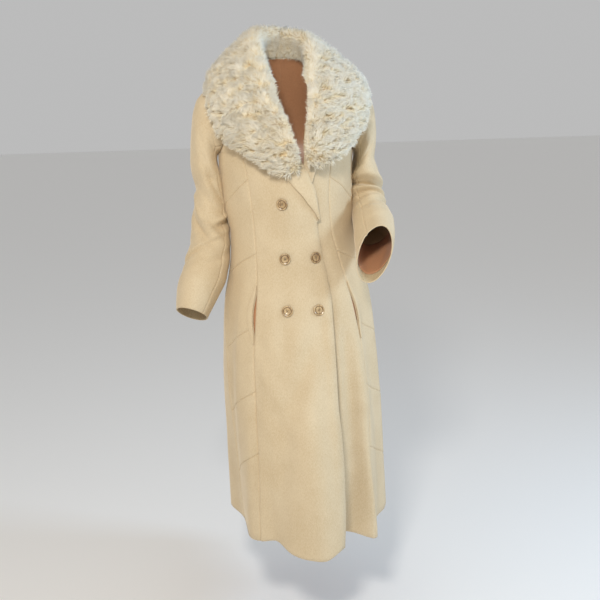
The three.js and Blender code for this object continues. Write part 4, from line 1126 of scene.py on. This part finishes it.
def value_at(grid, r, q):
    """A grid's points or numbers at rows r and columns q, which may lie between its own."""
    rows, columns = grid.shape[:2]
    r, q = np.clip(r, 0, rows - 1.001), np.clip(q, 0, columns - 1.001)
    i, j = r.astype(int), q.astype(int)
    s, t = r - i, q - j
    if grid.ndim == 3:
        s, t = s[:, None], t[:, None]
    return mix(mix(grid[i, j], grid[i, j + 1], t), mix(grid[i + 1, j], grid[i + 1, j + 1], t), s)


def set_tones(piece, tones):
    """Stores how far along the hair each point is, which the fur's material reads."""
    tone = piece.data.attributes.new("along", "FLOAT", "POINT")
    tone.data.foreach_set("value", tones.ravel().astype(np.float32))


def pelt_depth(rows, columns):
    """How deep the pelt's padded body is: full in the middle with low lumps, less near the neck,
    and thin at its edges."""
    down = np.linspace(0, 1, rows)[:, None]
    along = np.linspace(0, 1, columns)[None, :]
    bulk = np.minimum(1, np.sin(np.pi * np.minimum(down + 0.02, 1)) ** 0.45 + 0.02)
    bulk = bulk * smooth(np.minimum(along, 1 - along), -0.004, 0.05)
    near_neck = mix(0.62, 1, smooth(down * 9, 1, 5))
    lumps = np.sin(along * 61 + down * 9) * np.sin(down * 17 - along * 23)
    lumps = lumps + 0.8 * np.sin(along * 143 - down * 31) * np.sin(down * 41 + along * 97)
    return 2.5 + (10.0 * near_neck + 1.6 * lumps) * bulk


def lock_places(rng, skin):
    """Rows and columns of the locks' roots: evenly over the skin, and denser at the roll."""
    rows, columns = skin.shape[:2]
    a = skin[1:, 1:] - skin[:-1, :-1]
    b = skin[1:, :-1] - skin[:-1, 1:]
    down = np.linspace(0, 1, rows)[1:, None]
    at_roll = 1 + 1.6 * np.exp(-(((down - ROLL_SHARE) / 0.06) ** 2))
    weight = (np.linalg.norm(np.cross(a, b), axis=-1) * at_roll).ravel()
    cell = rng.choice(weight.size, LOCKS, p=weight / weight.sum())
    r = cell // (columns - 1) + rng.random(LOCKS)
    q = cell % (columns - 1) + rng.random(LOCKS)
    order = np.argsort(q)
    return r[order], q[order]


def scatter(v):
    """A share from 0 to 1 for each value, the same each time but as if drawn at random."""
    v = np.sin(v) * 43758.5453
    return v - np.floor(v)


def tuft_middles(places):
    """The middle of each place's tuft: the nearest of the scattered middles of the square cells
    round it, which are 1 wide."""
    home, nearest = np.zeros_like(places), np.full(len(places), 1e9)
    for di in (-1, 0, 1):
        for dj in (-1, 0, 1):
            cell = np.floor(places) + [di, dj]
            centre = cell + 0.15 + 0.7 * scatter(cell @ np.array([[127.1, 269.5], [311.7, 183.3]]))
            gap = np.linalg.norm(centre - places, axis=-1)
            home = np.where((gap < nearest)[:, None], centre, home)
            nearest = np.minimum(gap, nearest)
    return home


def lock_curves(rng, skin, normal, depth):
    """Root, knee and tip of each lock, with its thickness, tone, skin normal and side. A lock
    leaves the pelt, bends at its knee and leans towards the middle of its tuft."""
    rows, columns = skin.shape[:2]
    r, q = lock_places(rng, skin)
    w, u = r / (rows - 1), q / (columns - 1)
    n = unit(value_at(normal, r, q))
    lie = unit(value_at(unit(np.gradient(skin, axis=0)), r, q))
    side = unit(value_at(unit(np.gradient(skin, axis=1)), r, q))
    root = value_at(skin, r, q) + n * (value_at(depth, r, q) - 3.0)[:, None]
    by_end = np.clip(1 - np.minimum(u, 1 - u) / 0.03, 0, 1) * np.sign(u - 0.5)
    by_edge = smooth(w, 0.86, 1.0)
    on_fall = smooth(w, 0.2, 0.4)

    tall = np.linalg.norm(np.diff(skin, axis=0), axis=-1).sum(0).mean()
    wide = np.linalg.norm(np.diff(skin[rows // 2], axis=0), axis=-1).sum()
    home = tuft_middles(np.stack([w * tall, u * wide], -1) / TUFT)
    home_r = home[:, 0] * TUFT / tall * (rows - 1)
    home_q = home[:, 1] * TUFT / wide * (columns - 1)
    tuft_root, tuft_n = value_at(skin, home_r, home_q), unit(value_at(normal, home_r, home_q))
    turn = scatter(home @ np.array([12.9898, 78.233])) * 6.283
    curl_way = unit(tuft_n * 0.2 + side * np.cos(turn)[:, None] + lie * (0.7 + np.sin(turn))[:, None])

    long = (23 + 7 * rng.random(LOCKS)) * mix(0.62, 1, smooth(w, 0.1, 0.4)) * mix(1, 0.72, by_edge)
    rise = mix(0.75, 0.5, by_edge) * (0.85 + 0.3 * rng.random(LOCKS))
    way = n * rise[:, None] + lie * mix(-0.55, 0.55, on_fall)[:, None] + side * (0.9 * by_end)[:, None]
    way = unit(way + curl_way * mix(0.2, 0.6, on_fall)[:, None] + rng.normal(0, 0.2, (LOCKS, 3)))
    own_tip = root + way * long[:, None]
    tuft_tip = tuft_root + tuft_n * 17 + curl_way * 12 + lie * 6
    apart = np.linalg.norm(tuft_tip - own_tip, axis=-1)
    pull = 0.36 * on_fall * np.exp(-((apart / 26) ** 2)) * (0.7 + 0.3 * rng.random(LOCKS))
    tip = mix(own_tip, tuft_tip, pull[:, None])
    curl = curl_way * (long * 0.16)[:, None] + rng.normal(0, 0.8, (LOCKS, 3))
    knee = mix(root, tip, 0.5) + n * (long * 0.22)[:, None] - curl
    thick = 0.95 * (0.75 + 0.5 * rng.random(LOCKS))
    return root, knee, tip, thick, rng.normal(0, 0.07, LOCKS), n, side


def lock_faces():
    """The triangles of one lock: its rings of points, its tip, and the end at its root."""
    faces = []
    for low in range(0, (len(LOCK_RINGS) - 1) * LOCK_SIDES, LOCK_SIDES):
        high = low + LOCK_SIDES
        for k in range(LOCK_SIDES):
            after = (k + 1) % LOCK_SIDES
            faces += [(low + k, low + after, high + after), (low + k, high + after, high + k)]
    top = (len(LOCK_RINGS) - 1) * LOCK_SIDES
    faces += [(top + k, top + (k + 1) % LOCK_SIDES, top + LOCK_SIDES) for k in range(LOCK_SIDES)]
    return np.array([*faces, (2, 1, 0)])


def build_locks(root, knee, tip, thick, own_tone, n, side):
    """The locks' meshes, in a few pieces along the collar. Their normals lean towards the skin's,
    so that the hair takes the light as one soft coat."""
    points, tones, normals = [], [], []
    for share, size in zip(LOCK_RINGS, LOCK_SIZES):
        middle = root * (1 - share) ** 2 + knee * 2 * share * (1 - share) + tip * share**2
        line = unit((knee - root) * (1 - share) + (tip - knee) * share)
        first = unit(np.cross(line, side + 0.01))
        second = np.cross(line, first)
        for k in range(LOCK_SIDES):
            turn = 2 * np.pi * k / LOCK_SIDES
            around = first * np.cos(turn) + second * np.sin(turn)
            points.append(middle + around * (thick * size)[:, None])
            normals.append(around * 0.8 + n)
            tones.append(own_tone + 0.15 + 0.75 * share)
    points = np.stack([*points, tip], 1)
    tones = np.stack([*tones, own_tone + 0.95], 1)
    normals = np.stack([*normals, n + line * 0.3], 1)
    one = lock_faces()
    for part in range(LOCK_PIECES):
        some = slice(part * LOCKS // LOCK_PIECES, (part + 1) * LOCKS // LOCK_PIECES)
        starts = np.arange(len(points[some])) * points.shape[1]
        faces = (starts[:, None, None] + one[None]).reshape(-1, 3)
        piece = new_piece(f"fur_collar_locks_{part + 1}", points[some], faces.tolist(), [FUR])
        set_tones(piece, tones[some])
        soft = unit(normals[some].reshape(-1, 3))
        piece.data.normals_split_custom_set_from_vertices(soft.tolist())


def build_collar(rng):
    """The pelt, the cloth collar under it, and the hair."""
    skin = refined(collar_skin(), 5)
    normal = grid_normals(skin)
    depth = pelt_depth(*skin.shape[:2])
    points, faces, _ = wall(skin + normal * depth[..., None], skin + normal * 0.6)
    pelt = new_piece("fur_collar_pelt", points, faces.tolist(), [FUR])
    set_tones(pelt, np.full(len(pelt.data.vertices), PELT_SHADE_TONE))
    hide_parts("fur_collar")
    under = skin - normal * 1.4
    under[-5:] = under[-6] + (under[-5:] - under[-6]) * 0.7
    cloth("under_collar", under, under - normal * CLOTH, [FACING, WOOL])
    build_locks(*lock_curves(rng, skin, normal, depth))


# Buttons: four holes, a raised rim and a dished middle.
BUTTONS = (
    # node, x, z, rise
    ("button_top", -41, -366, 0.2),
    ("button_middle_inner", -37, -500, 0.85),
    ("button_middle_outer", 38, -500, 0.85),
    ("button_bottom_inner", -37, -625, 0.2),
    ("button_bottom_outer", 40, -625, 0.2),
)
BUTTON_RADIUS, BUTTON_THICK, BUTTON_STEPS = 14, 3.6, 48
BUTTON_PROFILE = (
    # share of the radius, share of the thickness
    (0.0, 0.0), (0.7, 0.0), (0.88, 0.12), (0.97, 0.36), (1.0, 0.56), (0.985, 0.8), (0.95, 0.95),
    (0.9, 1.0), (0.85, 0.98), (0.8, 0.88), (0.74, 0.76), (0.62, 0.66), (0.48, 0.6), (0.42, 0.62),
    (0.38, 0.56), (0.3, 0.5), (0.27, 0.495), (0.25, 0.49), (0.23, 0.49), (0.21, 0.485), (0.19, 0.485),
    (0.17, 0.48), (0.15, 0.48), (0.13, 0.48), (0.11, 0.475), (0.09, 0.475), (0.0, 0.47),
)
# Painted shade: these bands of the profile get the darker horn.
PAINTED_SHADE_BANDS = (0, 1, 2, 3, 9)  # bands of the profile: the side, and the groove inside the rim
HOLE_AT, HOLE_WIDE, HOLE_DEEP = 1.84, 0.95, 1.5  # each hole's place sideways and up, radius, depth
STRAND_REACH, STRAND_THICK, STRAND_POINTS, STRAND_SIDES = 3.4, 0.5, 9, 6


def build_button(node, x, z, rise):
    """A profile turned about the button's axis, with four thread holes sunk in it, painted dark as
    shade, and two strands of thread across them."""
    here = front_point(x, z, "right")
    across = unit(front_point(x + 6, z, "right") - front_point(x - 6, z, "right"))
    up = unit(front_point(x, z + 6, "right") - front_point(x, z - 6, "right"))
    out = unit(np.cross(across, up))
    up = np.cross(out, across)
    here = here + out * (rise + 0.3)
    radius, height = np.array(BUTTON_PROFILE).T * [[BUTTON_RADIUS], [BUTTON_THICK]]
    turn = np.linspace(0, 2 * np.pi, BUTTON_STEPS, endpoint=False)
    sideways, upwards = radius[1:-1, None] * np.cos(turn), radius[1:-1, None] * np.sin(turn)
    from_hole = np.hypot(np.abs(sideways) - HOLE_AT, np.abs(upwards) - HOLE_AT)
    level = height[1:-1, None] - HOLE_DEEP * np.exp(-((from_hole / HOLE_WIDE) ** 4))
    ring = here + sideways[..., None] * across + upwards[..., None] * up + level[..., None] * out
    points = np.concatenate([ring.reshape(-1, 3), [here, here + out * height[-1]]])

    quads = grid_faces(*ring.shape[:2], ring=True)
    bottom, top = ring.size // 3, ring.size // 3 + 1
    k = np.arange(BUTTON_STEPS)
    after = (k + 1) % BUTTON_STEPS
    last = bottom - BUTTON_STEPS
    faces = quads.tolist() + np.stack([after, k, 0 * k + bottom], -1).tolist()
    faces += np.stack([last + k, last + after, 0 * k + top], -1).tolist()
    # Painted shade: the darker horn goes on the side, the groove inside the rim and the thread holes.
    dark = np.isin(np.arange(len(faces)) // BUTTON_STEPS, PAINTED_SHADE_BANDS)
    dark[: len(quads)] |= (from_hole.ravel()[quads] < HOLE_WIDE).all(1)  # and the holes
    piece = new_piece(f"{node}_horn", points, faces, [HORN, HORN_PAINTED_SHADE], dark)
    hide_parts(node)
    build_strands(node, here + out * height[-1], across, up, out)


def build_strands(node, middle, across, up, out):
    """Two strands of thread that cross over the middle of a button."""
    tubes, faces = [], []
    for sign in (-1, 1):
        way = unit(across + sign * up)
        beside = np.cross(out, way)
        s = np.linspace(-1, 1, STRAND_POINTS)[:, None]
        line = middle + out * (0.75 * (1 - s**2) - 0.25 + 0.3 * (sign > 0)) + way * s * STRAND_REACH
        t = np.linspace(0, 2 * np.pi, STRAND_SIDES + 1)[:-1, None]
        start = len(tubes) * STRAND_POINTS * STRAND_SIDES
        tubes.append(line[:, None] + STRAND_THICK * (beside * np.cos(t) + out * np.sin(t)))
        faces += grid_faces(STRAND_POINTS, STRAND_SIDES, start, True).tolist()
        first, end = range(start, start + STRAND_SIDES), start + STRAND_POINTS * STRAND_SIDES
        faces += [list(first)[::-1], list(range(end - STRAND_SIDES, end))]
    new_piece(f"{node}_thread", np.array(tubes), faces, [THREAD], smooth_faces=False)


def lapel_right_lift(z, fold):
    at_buttonhole = np.exp(-(((z + 366) / 30) ** 2))
    return CLOTH + LAY + (1.6 + 3 * at_buttonhole) * np.minimum(1, 5 * fold + 0.25)


def lapel_left_lift(z, fold):
    return CLOTH + LAY + 0.3 * np.sin(np.pi * fold) + 7 * fold**2 * np.exp(-(((z + 318) / 34) ** 2))


rng = np.random.default_rng(SEED)
build_fronts()
build_lapel("right", LAPEL_RIGHT, -408, -264, lapel_right_lift)
build_lapel("left", LAPEL_LEFT, -406, -264, lapel_left_lift)
for hand in (-1, 1):
    build_side_fronts(hand)
    build_backs(hand)
    build_pocket(hand)
build_sleeve(-1, SLEEVE_RIGHT, SLEEVE_RIGHT_FOLDS, 16)
build_sleeve(1, SLEEVE_LEFT, SLEEVE_LEFT_FOLDS, 15)
build_collar(rng)
for row in BUTTONS:
    build_button(*row)

# A plain pale floor, soft light and the camera at the photograph's angle.
FLOOR_Z = -1.5
bpy.ops.mesh.primitive_plane_add(size=40, location=(0, 0, FLOOR_Z))
floor = bpy.context.object
floor.name = "floor"
material, _, surface = new_material("pale floor")
set_inputs(surface, Base_Color=linear("#f4f3f1"), Roughness=0.9)
floor.data.materials.append(material)

world = bpy.data.worlds.new("studio")
bpy.context.scene.world = world
world.use_nodes = True
world.node_tree.nodes["Background"].inputs["Color"].default_value = (1, 1, 1, 1)
world.node_tree.nodes["Background"].inputs["Strength"].default_value = 0.5


def soft_light(name, place, target, size, power, colour):
    light = bpy.data.lights.new(name, "AREA")
    light.size = size
    light.energy = power
    light.color = colour
    lamp = bpy.data.objects.new(name, light)
    bpy.context.scene.collection.objects.link(lamp)
    lamp.location = place
    lamp.rotation_euler = (Vector(target) - Vector(place)).to_track_quat("-Z", "Y").to_euler()


soft_light("key", (-0.6, -2.5, 1.1), (0, 0, -0.6), 0.4, 46, (1.0, 0.97, 0.92))
soft_light("cool side", (2.5, -0.9, 0.4), (0, 0, -0.6), 0.6, 38, (0.55, 0.76, 1.0))
soft_light("warm side", (-2.4, -1.2, 0.2), (0, 0, -0.7), 1.2, 5, (1.0, 0.70, 0.34))
bpy.context.scene.view_settings.view_transform = "Standard"

CAMERA_AWAY, CAMERA_Z, LENS, SHIFT = 2.5, -0.08, 58.62, 5 / 600
PITCH, ROLL, AZIMUTH = 12.6, -1.5, -5.5  # degrees down, of tilt, and round from the front
down, roll, round_by = (math.radians(x) for x in (PITCH, ROLL, AZIMUTH))
away = Vector((math.sin(round_by), -math.cos(round_by), 0))
forward = -away * math.cos(down) - Vector((0, 0, math.sin(down)))
level = Vector((math.cos(round_by), math.sin(round_by), 0))
upward = level.cross(forward)
right_way = level * math.cos(roll) + upward * math.sin(roll)
up_way = upward * math.cos(roll) - level * math.sin(roll)
camera_data = bpy.data.cameras.new("camera")
camera_data.lens = LENS
camera_data.shift_x = SHIFT
camera = bpy.data.objects.new("camera", camera_data)
bpy.context.scene.collection.objects.link(camera)
turned = Matrix((right_way, up_way, -forward)).transposed().to_4x4()
camera.matrix_world = Matrix.Translation(away * CAMERA_AWAY + Vector((0, 0, CAMERA_Z))) @ turned
bpy.context.scene.camera = camera
